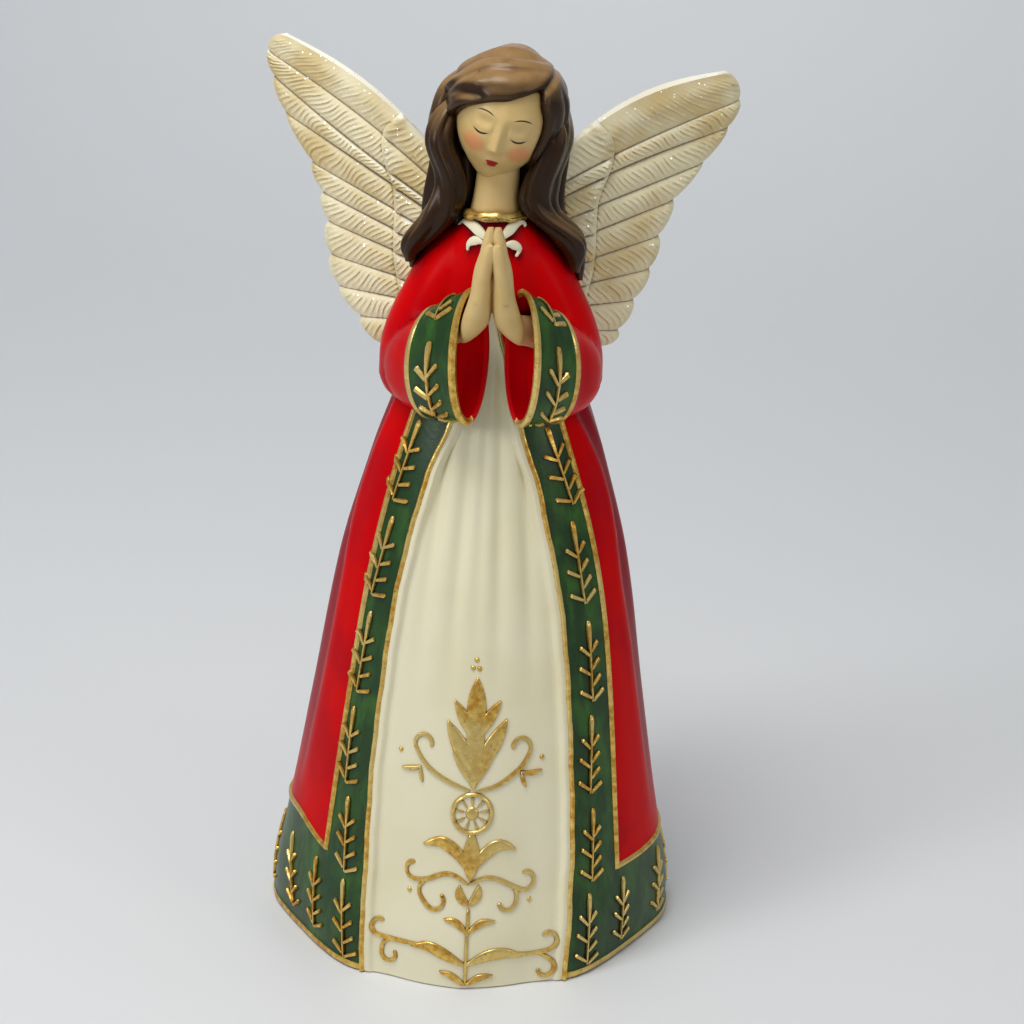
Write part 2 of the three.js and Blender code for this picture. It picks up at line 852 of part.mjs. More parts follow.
function backMass() {
  return loft(12, 3, (t) => ({
    centre: new THREE.Vector3(...BACK_CENTRE, lerp(BACK_HEIGHTS[0], BACK_HEIGHTS[1], t)),
    across: new THREE.Vector3(lerp(BACK_HALF_WIDTHS[0], BACK_HALF_WIDTHS[1], t * t), 0, 0),
    up: new THREE.Vector3(0, lerp(BACK_HALF_DEPTHS[0], BACK_HALF_DEPTHS[1], t), 0),
  }));
}

const resin = new THREE.MeshStandardMaterial({
  color: 0xa3161f,
  roughness: 0.4,
  metalness: 0,
});

const pieces = [body(), backMass(), neck(), collar(), head(), hairCap()];
pieces.push(...LOCKS.map(lock));
for (const side of [-1, 1]) {
  const { outer, hollow } = bellSleeve(side);
  pieces.push(upperArm(side), outer.subtract(hollow), hand(side));
  pieces.push(wing(side), coverts(side));
}
const casting = pieces.reduce((whole, piece) => whole.add(piece));

const result = casting.getMesh();
const shape = new THREE.BufferGeometry();
shape.setAttribute("position", new THREE.BufferAttribute(new Float32Array(result.vertProperties), 3));
shape.setIndex(new THREE.BufferAttribute(new Uint32Array(result.triVerts), 1));
shape.computeVertexNormals();

const figure = new THREE.Mesh(shape, resin);
figure.name = "angel_figure";
const group = new THREE.Group();
group.add(figure);

export default group;
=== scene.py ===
"""A praying angel figurine, cast in resin and painted by hand.

The figure faces -Y. Forms are modelled in millimetres and brought to metres at the end.
"""

import json
import math

import bmesh
import bpy
import numpy as np
from mathutils import Matrix, Vector

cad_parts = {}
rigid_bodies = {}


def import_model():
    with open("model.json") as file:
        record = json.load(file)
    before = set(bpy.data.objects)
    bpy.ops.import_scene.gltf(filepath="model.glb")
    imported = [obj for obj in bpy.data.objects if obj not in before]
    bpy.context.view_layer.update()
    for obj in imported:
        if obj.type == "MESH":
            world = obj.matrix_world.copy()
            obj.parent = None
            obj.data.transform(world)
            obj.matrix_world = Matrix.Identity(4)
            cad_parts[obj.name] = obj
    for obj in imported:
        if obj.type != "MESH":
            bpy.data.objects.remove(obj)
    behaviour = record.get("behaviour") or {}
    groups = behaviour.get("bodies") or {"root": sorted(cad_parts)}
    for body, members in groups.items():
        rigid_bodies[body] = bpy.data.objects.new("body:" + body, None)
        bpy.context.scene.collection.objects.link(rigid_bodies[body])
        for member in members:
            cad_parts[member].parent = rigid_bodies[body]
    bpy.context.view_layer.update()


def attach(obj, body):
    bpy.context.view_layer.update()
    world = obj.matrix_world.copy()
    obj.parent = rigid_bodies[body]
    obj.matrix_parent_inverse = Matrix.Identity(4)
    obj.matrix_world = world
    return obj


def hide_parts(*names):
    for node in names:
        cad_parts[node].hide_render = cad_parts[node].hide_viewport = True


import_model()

MM = 0.001
MERGE = 1e-4

# Body: (height, value) pairs in millimetres
HEIGHT = 251
HALF_WIDTH = [
    (0, 68.9), (16, 68), (32, 64.8), (80, 56.8), (133, 47.8), (167, 38.6), (190, 30.5),
    (212, 24), (228, 21), (240, 16), (247, 10.4), (251, 5.8),
]
DEPTH_SHARE = [(0, 0.88), (80, 0.86), (133, 0.84), (190, 0.82), (228, 0.8), (245, 0.82), (251, 1)]
CENTRE_X = [(0, -0.9), (30, -0.6), (110, 0.3), (230, 1.4), (251, 2)]
CENTRE_Y = [(0, 0), (190, 0), (228, -3), (251, -7.5)]
PLAN_SHARE = [
    (0, 1.025), (11, 1.005), (20, 0.99), (29, 1.01), (36, 1), (46, 0.965), (58, 0.94),
    (70, 0.95), (83, 0.99), (96, 1.01), (130, 1), (180, 1),
]
PLAN_FADE = [(0, 1), (34, 0.6), (120, 0.15), (180, 0)]

# Golden lines: (height, degrees from the front) pairs for the left and the right side
PANEL_LINE = {
    -1: [(0, 28.1), (15, 28.9), (42, 31.1), (72, 33.3), (99, 33.7), (126, 33.1), (150, 30.7),
         (169, 27.1), (184, 20.4), (200, 13.5), (222, 2)],
    1: [(0, 29.7), (21, 31.6), (45, 34), (75, 34.9), (102, 34.8), (129, 33.2), (148, 30.2),
        (167, 26.6), (182, 20.5), (200, 13.5), (222, 2)],
}
COAT_LINE = {
    -1: [(33, 49.3), (81, 49.5), (133, 48.6), (153, 48.3), (169, 48), (184, 47.2)],
    1: [(32, 53.8), (63, 54.8), (91, 55.8), (118, 55.6), (139, 54.1), (155, 52.3), (184, 47.2)],
}
HEM_LINE = [(-180, 36), (-90, 39), (-70, 40), (-49, 36), (0, 34), (54, 32.4), (79, 31.9), (180, 36)]
HEM_MIDDLE = 34
GOLD_HALF = 0.95
COAT_GOLD_HALF = 1.15
GOLD_RISE = 0.9
HEM_BEAD = (0.5, 2.6)
PANEL_TOP = 222
STRIP_TOP = 200
PANEL_RECESS = 2
LEDGE = 2.4
LEDGE_STEP = 1.7

# Columns in each lane from the middle of the front to the middle of the back
LANE_NAMES = ["panel", "step", "ledge", "panel_line", "strip", "coat_line", "coat", "back"]
LANE_COLUMNS = [20, 4, 2, 4, 10, 4, 20, 18]

# The pleat in each red side field, as (height, degrees from the front) pairs
PLEAT_LINE = {
    -1: [(40, 75), (88, 72), (126, 71), (156, 78), (184, 75)],
    1: [(40, 80), (100, 77), (129, 73), (162, 77), (186, 62)],
}

radians = np.radians


def keyed(pairs, place):
    """A smooth curve through a few (place, value) pairs, read at one place or an array of them."""
    places = np.array([pair[0] for pair in pairs], float)
    values = np.array([pair[1] for pair in pairs], float)
    last = len(places) - 1
    before = np.maximum(np.arange(last + 1) - 1, 0)
    after = np.minimum(np.arange(last + 1) + 1, last)
    slopes = (values[after] - values[before]) / (places[after] - places[before])
    place = np.clip(place, places[0], places[-1])
    low = np.clip(np.searchsorted(places, place, side="right") - 1, 0, last - 1)
    width = places[low + 1] - places[low]
    t = (place - places[low]) / width
    rise = t * t * (3 - 2 * t)
    leave = t * (1 - t) ** 2 * width * slopes[low]
    arrive = t * t * (t - 1) * width * slopes[low + 1]
    return values[low] + (values[low + 1] - values[low]) * rise + leave + arrive


def smooth(value, low, high):
    """0 below low, 1 above high, and a soft step between."""
    t = np.clip((value - low) / (high - low), 0, 1)
    return t * t * (3 - 2 * t)


def bump(distance, half):
    """A soft bell, 1 at its middle and near 0 at twice its half-width."""
    return np.exp(-((distance / half) ** 2))


def ridge(distance, half):
    """A rounded ridge, 1 on its line and 0 at its half-width."""
    return np.sqrt(np.maximum(0, 1 - (distance / half) ** 2))


def lerp(low, high, t):
    return low + (high - low) * t


def stack(x, y, z):
    return np.stack(np.broadcast_arrays(x, y, z), axis=-1)


# Making closed forms

parts = bpy.data.collections.new("parts")
bpy.context.scene.collection.children.link(parts)


def skin(name, columns, rows, place, paint):
    """A closed form: a grid whose points are moved to place(u, v), joined at its seams and closed.

    paint is the name of a paint, or a function that gives one for the middle of a face.
    """
    names = list(MATERIALS)
    made = bmesh.new()
    bmesh.ops.create_grid(made, x_segments=columns, y_segments=rows, size=0.5)
    if callable(paint):
        for face in made.faces:
            middle = face.calc_center_median()
            face.material_index = names.index(paint(middle.x + 0.5, middle.y + 0.5))
    else:
        for face in made.faces:
            face.material_index = names.index(paint)
    u = np.array([vertex.co.x for vertex in made.verts]) + 0.5
    v = np.array([vertex.co.y for vertex in made.verts]) + 0.5
    for vertex, point in zip(made.verts, place(u, v)):
        vertex.co = point
    bmesh.ops.remove_doubles(made, verts=made.verts, dist=MERGE)
    open_edges = [edge for edge in made.edges if edge.is_boundary]
    bmesh.ops.holes_fill(made, edges=open_edges, sides=0)
    bmesh.ops.recalc_face_normals(made, faces=made.faces)
    mesh = bpy.data.meshes.new(name)
    made.to_mesh(mesh)
    made.free()
    for material in MATERIALS.values():
        mesh.materials.append(material)
    item = bpy.data.objects.new(name, mesh)
    parts.objects.link(item)
    return item


def tube(name, columns, rows, section, paint, groove=None):
    """A closed tube: section(t) gives its centre and its two half-axes for each place along it."""
    def place(u, v):
        centre, across, up = section(v)
        turn = 2 * np.pi * u
        swell = 1 if groove is None else 1 + groove(turn, v)
        return centre + across * (np.cos(turn) * swell)[:, None] + up * (np.sin(turn) * swell)[:, None]
    return skin(name, columns, rows, place, paint)


# Body

def lane_knots(z, side):
    """Angles of the edges of the lanes at each height, as an array of lanes by points."""
    arc = radians(1) * keyed(HALF_WIDTH, z)
    panel = np.where(side < 0, keyed(PANEL_LINE[-1], z), keyed(PANEL_LINE[1], z))
    coat = np.where(side < 0, keyed(COAT_LINE[-1], z), keyed(COAT_LINE[1], z))
    wobble = 0.14 * np.sin(z * 0.31 + side) + 0.07 * np.sin(z * 0.83)
    panel = panel + wobble / arc
    inner = np.maximum(panel - (LEDGE + LEDGE_STEP) / arc, panel * 0.6)
    ledge = np.maximum(panel - LEDGE / arc, panel * 0.8)
    return np.stack([
        np.zeros_like(z),
        inner,
        ledge,
        np.maximum(panel - GOLD_HALF / arc, panel * 0.9),
        panel + GOLD_HALF / arc,
        coat - COAT_GOLD_HALF / arc,
        coat + COAT_GOLD_HALF / arc,
        np.full_like(z, 100.0),
        np.full_like(z, 180.0),
    ])


LANE_STARTS = np.cumsum([0] + LANE_COLUMNS)
SIDE_COLUMNS = int(LANE_STARTS[-1])


def lane_of(column):
    return np.clip(np.searchsorted(LANE_STARTS, np.abs(column), side="right") - 1, 0, len(LANE_COLUMNS) - 1)


def column_angle(column, z):
    """Angle of a column, numbered from the back round the left side to the front and on."""
    side = np.where(column < 0, -1, 1)
    knots = lane_knots(z, side)
    lane = lane_of(column)
    share = (np.abs(column) - LANE_STARTS[lane]) / np.array(LANE_COLUMNS)[lane]
    each = np.arange(len(column))
    return side * lerp(knots[lane, each], knots[lane + 1, each], share)


def past_pleat(angle, z):
    """Degrees past the pleat of the red side field."""
    line = np.where(angle < 0, keyed(PLEAT_LINE[-1], z), keyed(PLEAT_LINE[1], z))
    return np.abs(angle) - line


def field_folds(angle, z):
    """An upright pleat in each side of the coat and soft folds round its back."""
    past = past_pleat(angle, z)
    swell = np.sin(np.pi * np.clip((z - 36) / 190, 0, 1)) ** 0.8
    pleat = 0.5 * bump(past + 4, 4) - 1.7 * smooth(past, -0.5, 4.5) * smooth(-past, -22, -7)
    back_folds = 0.9 * smooth(past, 22, 38) * np.cos(radians((np.abs(angle) - 104) * 11))
    return swell * (pleat + back_folds)


def gown_pleats(turn, z):
    """Soft upright pleats in the upper half of the gown, which die out towards the hem."""
    swell = smooth(z, 84, 150)
    valleys = bump(turn - 8.5, 3) + 0.9 * bump(turn - 21, 3.2) + 0.4 * bump(turn, 2.2)
    return -1.6 * swell * valleys


def body_relief(angle, z):
    """How far the carved surface stands off the plain body, in millimetres."""
    side = np.where(angle < 0, -1, 1)
    turn = np.abs(angle)
    arc = radians(1) * keyed(HALF_WIDTH, z)
    knots = lane_knots(z, side)
    panel = (knots[3] + knots[4]) / 2
    coat = (knots[5] + knots[6]) / 2
    field = smooth((knots[2] - turn) * arc, 0, LEDGE_STEP) * smooth(-z, -214, -188)
    relief = -PANEL_RECESS * field * np.minimum(1, z / 60 + 0.5)
    relief = relief + 0.9 * field * (1 - (turn / np.maximum(panel, 1)) ** 2) * smooth(-z, -150, -40)
    relief = relief + field * gown_pleats(turn, z)
    relief = relief + GOLD_RISE * ridge((turn - panel) * arc, GOLD_HALF) * (z < PANEL_TOP)
    above = z - keyed(HEM_LINE, angle)
    coat_ridge = ridge((turn - coat) * arc, COAT_GOLD_HALF) * (above > 0) * (z < STRIP_TOP)
    hem_ridge = ridge(above, GOLD_HALF) * (turn > knots[5])
    relief = relief + GOLD_RISE * np.maximum(coat_ridge, hem_ridge)
    inside = smooth((turn - coat) * arc, 0.5, 6) * smooth(above, 0.5, 14)
    relief = relief + inside * field_folds(angle, z)
    outside = turn > knots[4]
    return relief + outside * 0.55 * ridge(z - sum(HEM_BEAD) / 2, 1.2)


def body_point(angle, z, out):
    """A point of the body at an angle from the front, towards +X, and a height."""
    plan = 1 + (keyed(PLAN_SHARE, np.abs(angle)) - 1) * keyed(PLAN_FADE, z)
    a = keyed(HALF_WIDTH, z) * plan
    b = a * keyed(DEPTH_SHARE, z)
    sine = np.sin(radians(angle))
    cosine = np.cos(radians(angle))
    length = np.hypot(sine * b, cosine * a)
    x = keyed(CENTRE_X, z) + a * sine + out * sine * b / length
    y = keyed(CENTRE_Y, z) - b * cosine - out * cosine * a / length
    return stack(x, y, z)


def on_body(angle, z, out):
    return body_point(angle, z, body_relief(angle, z) + out)


def body_rows():
    """Heights of the body's rows, the first of them the middle of the underside."""
    hem = [0, 0, 0.5, 0.95, 1.4, 1.85, 2.3, 2.6, 3.1, 4.2]
    low = list(np.linspace(6.5, 32, 11))
    line = list(HEM_MIDDLE + GOLD_HALF * np.array([-1, -0.55, 0, 0.55, 1]))
    middle = list(np.linspace(37.2, 186, 58))
    return np.array(hem + low + line + middle + list(np.linspace(189, HEIGHT, 26)) + [HEIGHT])


def body():
    heights = body_rows()
    last = len(heights) - 1

    def height_shift(angle, z):
        weight = smooth(z, 4, HEM_MIDDLE - 2) * smooth(-z, -90, -HEM_MIDDLE - 2)
        return (keyed(HEM_LINE, angle) - HEM_MIDDLE) * weight

    def place(u, v):
        row = np.rint(v * last).astype(int)
        column = np.rint((u * 2 - 1) * SIDE_COLUMNS)
        z = heights[row]
        z = z + height_shift(column_angle(column, z), z)
        angle = column_angle(column, z)
        edge = np.where((row == 1) & (z < 0.1), -0.7, 0)
        points = body_point(angle, z, body_relief(angle, z) + edge)
        middle = (row == 0) | (row == last)
        centre = stack(keyed(CENTRE_X, z), keyed(CENTRE_Y, z), z)
        return np.where(middle[:, None], centre, points)

    def paint(u, v):
        row = v * last
        if row < 1:
            return "bare"
        z = float(np.interp(row, range(last + 1), heights))
        name = LANE_NAMES[int(lane_of(np.array((u * 2 - 1) * SIDE_COLUMNS)))]
        if name in ("panel", "step", "ledge"):
            return "cream" if z < PANEL_TOP else "crimson"
        if name == "panel_line":
            return "gold" if z < PANEL_TOP else "crimson"
        if z < HEM_MIDDLE - GOLD_HALF:
            return "gold" if HEM_BEAD[0] < z < HEM_BEAD[1] else "green"
        if name == "strip":
            return "green" if z < STRIP_TOP else "crimson"
        if name == "coat_line":
            return "gold" if z < STRIP_TOP else "crimson"
        return "gold" if z < HEM_MIDDLE + GOLD_HALF else "crimson"

    return skin("body", SIDE_COLUMNS * 2, last, place, paint)


# Relief strokes: bars, leaves and scrolls that follow the surface they lie on

def path_points(points, t):
    """Places along a smooth path through points, by its share of the length."""
    points = np.array(points, float)
    steps = np.hypot(*np.diff(points, axis=0).T)
    at = np.concatenate([[0], np.cumsum(steps)]) / steps.sum()
    return keyed(list(zip(at, points[:, 0])), t), keyed(list(zip(at, points[:, 1])), t)


def stroke(name, surface, points, width, rise, rows=12, columns=8, vein=0, paint="gold"):
    """A raised stroke on a surface; width holds (share of the length, half-width) pairs."""
    def place(u, v):
        v = 0.5 - 0.5 * np.cos(np.pi * v)
        x, z = path_points(points, v)
        step = 1e-3
        ahead_x, ahead_z = path_points(points, v + step)
        behind_x, behind_z = path_points(points, v - step)
        length = np.hypot(ahead_x - behind_x, ahead_z - behind_z)
        side_x = (ahead_z - behind_z) / length
        side_z = -(ahead_x - behind_x) / length
        turn = 2 * np.pi * u
        across = np.sign(np.cos(turn)) * np.abs(np.cos(turn)) ** 0.55
        half = keyed(width, v)
        round_end = np.sqrt(np.clip(1 - (2 * v - 1) ** 20, 0, 1))
        top = np.maximum(np.sin(turn), 0) ** 0.6
        out = np.where(np.sin(turn) > 0.01, rise * top * round_end, -0.8)
        out = np.where(np.abs(np.sin(turn)) < 0.01, 0.25 * rise * round_end, out)
        out = out - vein * bump(across, 0.16) * (np.sin(turn) > 0.3) * smooth(v, 0.02, 0.12)
        return surface(x + side_x * across * half * round_end, z + side_z * across * half * round_end, out)
    return skin(name, columns, rows, place, paint)


def scroll(stem, eye, radius, start, sweep):
    """A path along a stem and on round a spiral that closes in on its eye."""
    turns = np.linspace(0, 1, 7)
    angles = radians(start + sweep * turns)
    reach = radius * (1 - 0.35 * turns)
    curl = [(eye[0] + r * math.cos(a), eye[1] + r * math.sin(a)) for r, a in zip(reach, angles)]
    return list(stem) + curl


LEAF = [(0, 0.3), (0.3, 0.85), (0.5, 1), (0.75, 0.75), (1, 0.08)]

# Leaves of a sprig: (share of its height from the foot, side, length, degrees off the stem)
SPRIG_LEAVES = [
    (0.02, 1, 6.6, 66), (0.2, 1, 5.6, 58), (0.4, 1, 5.3, 56), (0.61, 1, 5, 52),
    (0.06, -1, 6.8, 54), (0.34, -1, 6.6, 52), (0.57, -1, 6.2, 46),
]
LEAF_BAR = [(0, 0.55), (0.5, 0.68), (1, 0.78)]
SPRIG_STEM = [(0, 0.45), (0.55, 0.45), (0.72, 0.7), (0.9, 1.05), (1, 0.95)]
SPRIG_RISE = 1.0


def sprig(name, surface, length, leaves=SPRIG_LEAVES, size=1):
    """An upright sprig: a stem that swells to a blunt bud, with bar-shaped leaves on both sides."""
    stem = [(0, 0), (0, length / 2), (0, length)]
    stroke(name + "_stem", surface, stem, SPRIG_STEM, SPRIG_RISE, rows=11, columns=6)
    for at, side, leaf, lean in leaves:
        foot = (0, at * length)
        across = side * leaf * size * math.sin(math.radians(lean))
        tip = (across, at * length + leaf * size * math.cos(math.radians(lean)))
        stroke(name + "_leaf", surface, [foot, tip], LEAF_BAR, SPRIG_RISE, rows=5, columns=6)


def between(foot, top):
    """A surface for a sprig between two (degrees, height) places of the body, and its length."""
    def arc(z):
        return radians(1) * keyed(HALF_WIDTH, z)
    start = np.array([foot[0] * arc(foot[1]), foot[1]])
    reach = np.array([top[0] * arc(top[1]), top[1]]) - start
    length = float(np.hypot(*reach))
    up = reach / length

    def surface(x, h, out):
        across = start[0] + x * up[1] + h * up[0]
        z = start[1] - x * up[0] + h * up[1]
        return on_body(across / arc(z), z, out)
    return surface, length


STRIP_SPRIGS = [
    ((-44, 156.8), (-39.8, 183.8)), ((-44.8, 125.3), (-41.5, 152.4)), ((-44.8, 92.2), (-43.7, 120.5)),
    ((-43.6, 60.9), (-45.2, 87.6)), ((-38.2, 31.5), (-41.6, 57.4)), ((-34.5, 2.6), (-38.5, 29.6)),
    ((44.3, 157.8), (35.6, 183.7)), ((44.4, 125.5), (42.6, 153.3)), ((45.4, 92.4), (45.7, 120.3)),
    ((41.9, 61.7), (44.8, 88.5)), ((40.7, 31.5), (43.2, 56.9)), ((37.6, 3), (39.7, 28.3)),
]
HEM_SPRIGS = [
    ((-50.4, 6), (-53.8, 31)), ((-65.5, 6), (-73.7, 31)), ((54, 5.1), (56.5, 28)), ((77.5, 5), (82, 28.3)),
]
HEM_SPRIG_STEP = 19


def hem_sprigs():
    """The sprigs of the hem band, with those round the back at even steps."""
    back = []
    for side, first in ((-1, 93), (1, 101)):
        angle = first
        while angle < 179:
            back.append(((side * (angle - 3), 4.5), (side * angle, 30)))
            angle += HEM_SPRIG_STEP
    return HEM_SPRIGS + back


def sprigs():
    for foot, top in STRIP_SPRIGS + hem_sprigs():
        surface, length = between(foot, top)
        sprig("sprig", surface, length)


# The golden ornament on the gown, in millimetres across and up on the panel

MIDDLE = 1.8
THREAD = [(0, 0.5), (0.4, 0.75), (0.8, 0.6), (1, 0.85)]
SCROLLS = [
    scroll([(1, 66.9), (-5.2, 69), (-10.8, 71.6), (-15.1, 74.8)], (-15.3, 81), 3.6, 190, -215),
    scroll([(2.6, 66.7), (9.5, 68.7), (14.4, 71.8), (18, 75)], (17, 81), 3.8, -20, 215),
    scroll([(1.6, 35.5), (-1.2, 37.6), (-4.7, 38.8), (-8.1, 38.1), (-12, 36.2)], (-17, 38.8), 3.4, -80, -200),
    scroll([(-12.8, 35.6), (-14.8, 33.2), (-14.6, 30.8)], (-9, 29.8), 3.7, 222, 185),
    scroll([(1.6, 35.5), (5, 37.3), (8.5, 37.9), (12.3, 36.8), (16.2, 34.8)], (21, 36.4), 3.6, -95, 215),
    scroll([(15.8, 35), (18, 32.6)], (14.6, 29.6), 3.6, 8, -180),
    scroll([(-13, 14), (-19, 13.8), (-24.6, 13.8)], (-28.2, 17.4), 3.3, 245, -190),
    scroll([(-24.4, 13.6), (-26.8, 11.8)], (-24.4, 8.4), 3.1, 160, 240),
    scroll([(18, 11.8), (22.6, 11), (26.6, 11.1)], (30, 15.2), 3.5, -80, 225),
    scroll([(26.6, 11), (29.4, 9.4)], (29.2, 5.2), 3.6, 62, -240),
]
STEMS = [
    [(MIDDLE, 67.2), (1.7, 73), (1.7, 80)],
    [(2.1, 28), (2, 14), (2.1, 1.3)],
]
LEAVES = [
    ([(1.7, 84), (1.6, 94), (1.5, 104.4)], 3.2),
    ([(1.7, 68), (1.7, 80), (1.6, 93)], 3.4),
    ([(1.4, 84), (-1.8, 90), (-5.8, 96.6)], 2.0),
    ([(2, 84), (5.2, 90), (9.6, 96.8)], 2.0),
    ([(1.4, 73), (-3.6, 82), (-7.9, 89.8)], 2.7),
    ([(2, 73), (7.4, 82), (12, 90.8)], 2.7),
    ([(1.5, 69), (-2.2, 75), (-5.8, 80.2)], 1.4),
    ([(1.9, 69), (5, 75), (8.2, 80)], 1.4),
    ([(-16.2, 73.4), (-19.5, 72.2), (-23.3, 72)], 0.85),
    ([(-16.4, 73.2), (-16.2, 70.6), (-15.4, 68)], 0.75),
    ([(17.4, 73), (21, 72.2), (25.1, 73)], 0.85),
    ([(17.6, 72.8), (18.4, 70.2), (19.7, 67.5)], 0.75),
    ([(2.1, 52.9), (2.2, 45.4), (2.3, 36.6)], 2.9),
    ([(1.6, 40.4), (-2.6, 46.2), (-8, 49.2), (-14.3, 47.8)], 2.1),
    ([(3, 40.4), (6.6, 45.8), (11.4, 48.8), (17.3, 47)], 2.1),
    ([(2, 19.6), (-1.6, 22.8), (-6, 23.8)], 1.2),
    ([(2, 19.6), (6.4, 22.8), (11.3, 23.4)], 1.2),
    ([(1.8, 8.6), (-5, 11.8), (-11, 13.9), (-16.9, 12.9)], 2),
    ([(2, 8.6), (8, 11.4), (14.6, 12.2), (21.6, 10.3)], 2),
    ([(2.1, 1.5), (-2.4, 4.6), (-6.6, 5.8)], 1.2),
    ([(2.1, 1.5), (6.4, 4), (11.2, 4.7)], 1.2),
    ([(2, 28.6), (-0.8, 31.6), (-1.2, 35.4)], 1.6),
    ([(2, 28.6), (4.6, 31.6), (5.2, 35.6)], 1.6),
]
DOTS = [(0.9, 110), (-0.2, 107.4), (1.9, 107.2), (-23.9, 77.6), (24.8, 77.1), (-18.3, 31.3), (22.7, 29.4)]
DOT_RADIUS = 0.85
MEDALLION = (1.8, 59.4)
MEDALLION_RADIUS = 6.4
BOSS_RADIUS = 2.3
SPOKES = 9


def on_panel(x, z, out):
    """The gown's front panel, by millimetres across from its middle and up."""
    return on_body(np.degrees(x / keyed(HALF_WIDTH, z)), z, out)


def medallion():
    """A wheel between the two halves of the ornament: a ring, its spokes and a boss."""
    def place(u, v):
        turn = 2 * np.pi * v
        around = 2 * np.pi * u
        reach = MEDALLION_RADIUS + 0.75 * np.cos(around)
        x = MEDALLION[0] + reach * np.cos(turn)
        return on_panel(x, MEDALLION[1] + reach * np.sin(turn), 0.1 + 0.8 * np.sin(around))
    skin("ring", 8, 48, place, "gold")
    for i in range(SPOKES):
        angle = math.pi / 2 + 2 * math.pi * i / SPOKES
        toward = np.array([math.cos(angle), math.sin(angle)])
        spoke = [np.array(MEDALLION) + reach * toward for reach in (BOSS_RADIUS, MEDALLION_RADIUS)]
        stroke("spoke", on_panel, spoke, [(0, 0.35), (1, 0.42)], 0.55, rows=3, columns=6)
    dot("boss", MEDALLION, BOSS_RADIUS, 0.85)


def dot(name, centre, radius, rise):
    """A low round boss on the panel."""
    def place(u, v):
        reach = radius * np.sin(np.pi * v)
        out = np.where(v < 0.5, rise * np.cos(np.pi * v), -0.6 * (2 * v - 1))
        turn = 2 * np.pi * u
        return on_panel(centre[0] + reach * np.cos(turn), centre[1] + reach * np.sin(turn), out)
    return skin(name, 12, 8, place, "gold")


def ornament():
    """The scrolls, stems, leaves and dots of the golden ornament, with its wheel."""
    for points in SCROLLS:
        stroke("scroll", on_panel, points, THREAD, 0.75, rows=34, columns=8)
    for points in STEMS:
        stroke("stem", on_panel, points, [(0, 0.55), (1, 0.5)], 0.7, rows=12)
    for points, half in LEAVES:
        width = [(t, w * half) for t, w in LEAF]
        stroke("leaf", on_panel, points, width, 0.8, rows=16, columns=14, vein=0.3)
    for centre in DOTS:
        dot("dot", centre, DOT_RADIUS, 0.6)
    medallion()


# Upper arms and bell sleeves

ARM_HEIGHTS = (184, 245)
ARM_OUT = [(184, 20), (190, 24), (200, 25.2), (212, 22.6), (227, 15.9), (238, 11), (245, 9)]
ARM_RADIUS = [(184, 6), (187, 9.6), (200, 10.9), (227, 10.8), (237, 9.2), (242, 7), (245, 3)]
ARM_CENTRE_X = 1.6
ARM_CENTRE_Y = -3.5
LEFT_ELBOW = 1.2
SLEEVE_X = [(0, 1.7), (0.62, 2.7), (1, 3.9)]
SLEEVE_OUT = [(0, 22), (0.35, 24.4), (0.62, 19.2), (0.8, 13.9), (1, 7.8)]
SLEEVE_Y = [(0, 3), (0.35, -11), (0.62, -24.2), (0.8, -30.4), (1, -36)]
SLEEVE_TURN = [(0, 2), (0.35, 14), (0.62, 37), (0.8, 46), (1, 50)]
SLEEVE_HALF = [(0, 8), (0.35, 11), (0.62, 9.6), (0.8, 8.8), (1, 7.8)]
SLEEVE_TOP = [(0, 207), (0.35, 213), (0.62, 221.5), (0.8, 227), (1, 231.2)]
SLEEVE_BOTTOM = [(0, 189), (0.35, 185.5), (0.62, 186), (0.8, 187), (1, 188)]
SLEEVE_WALL = 1.6
SLEEVE_HOLLOW = 6
CUFF_LINE = (0.605, 0.645)
CUFF_RIM = 0.955


def upper_arm(side):
    def section(t):
        z = lerp(ARM_HEIGHTS[0], ARM_HEIGHTS[1], t)
        radius = keyed(ARM_RADIUS, z)
        centre = stack(ARM_CENTRE_X + side * keyed(ARM_OUT, z), ARM_CENTRE_Y, z)
        across = stack(radius + (LEFT_ELBOW if side < 0 else 0), 0, 0)
        return centre, across, stack(0, radius * 1.15, 0)
    return tube("upper_arm", 32, 24, section, "crimson")


def sleeve_frame(side, t):
    """Centre, half-sizes and directions of a sleeve's section, from 0 in the body to 1 at its edge."""
    turn = radians(keyed(SLEEVE_TURN, t))
    top = keyed(SLEEVE_TOP, t)
    bottom = keyed(SLEEVE_BOTTOM, t)
    centre = stack(
        keyed(SLEEVE_X, t) + side * keyed(SLEEVE_OUT, t), keyed(SLEEVE_Y, t), (top + bottom) / 2,
    )
    sideways = stack(side * np.cos(turn), -np.sin(turn), 0)
    along = stack(-side * np.sin(turn), -np.cos(turn), 0)
    return centre, keyed(SLEEVE_HALF, t), (top - bottom) / 2, sideways, along


def sleeve_point(side, t, turn, out):
    """A point of a sleeve's outside; turn 0 is its outer side and a quarter turn its top."""
    centre, half, height, sideways, _ = sleeve_frame(side, t)
    point = centre + sideways * ((half + out) * np.cos(turn))[:, None]
    point[:, 2] += (height + out) * np.sin(turn)
    return point


def sleeve_relief(t, turn):
    line = GOLD_RISE * ridge(t - sum(CUFF_LINE) / 2, 0.022)
    rim = 0.8 * smooth(t, CUFF_RIM, CUFF_RIM + 0.015)
    creases = -0.8 * bump(t - 0.52, 0.03) * bump(turn - 0.95, 0.32)
    creases = creases - 0.6 * bump(t - 0.47, 0.025) * bump(turn - 0.55, 0.3)
    return line + rim + creases


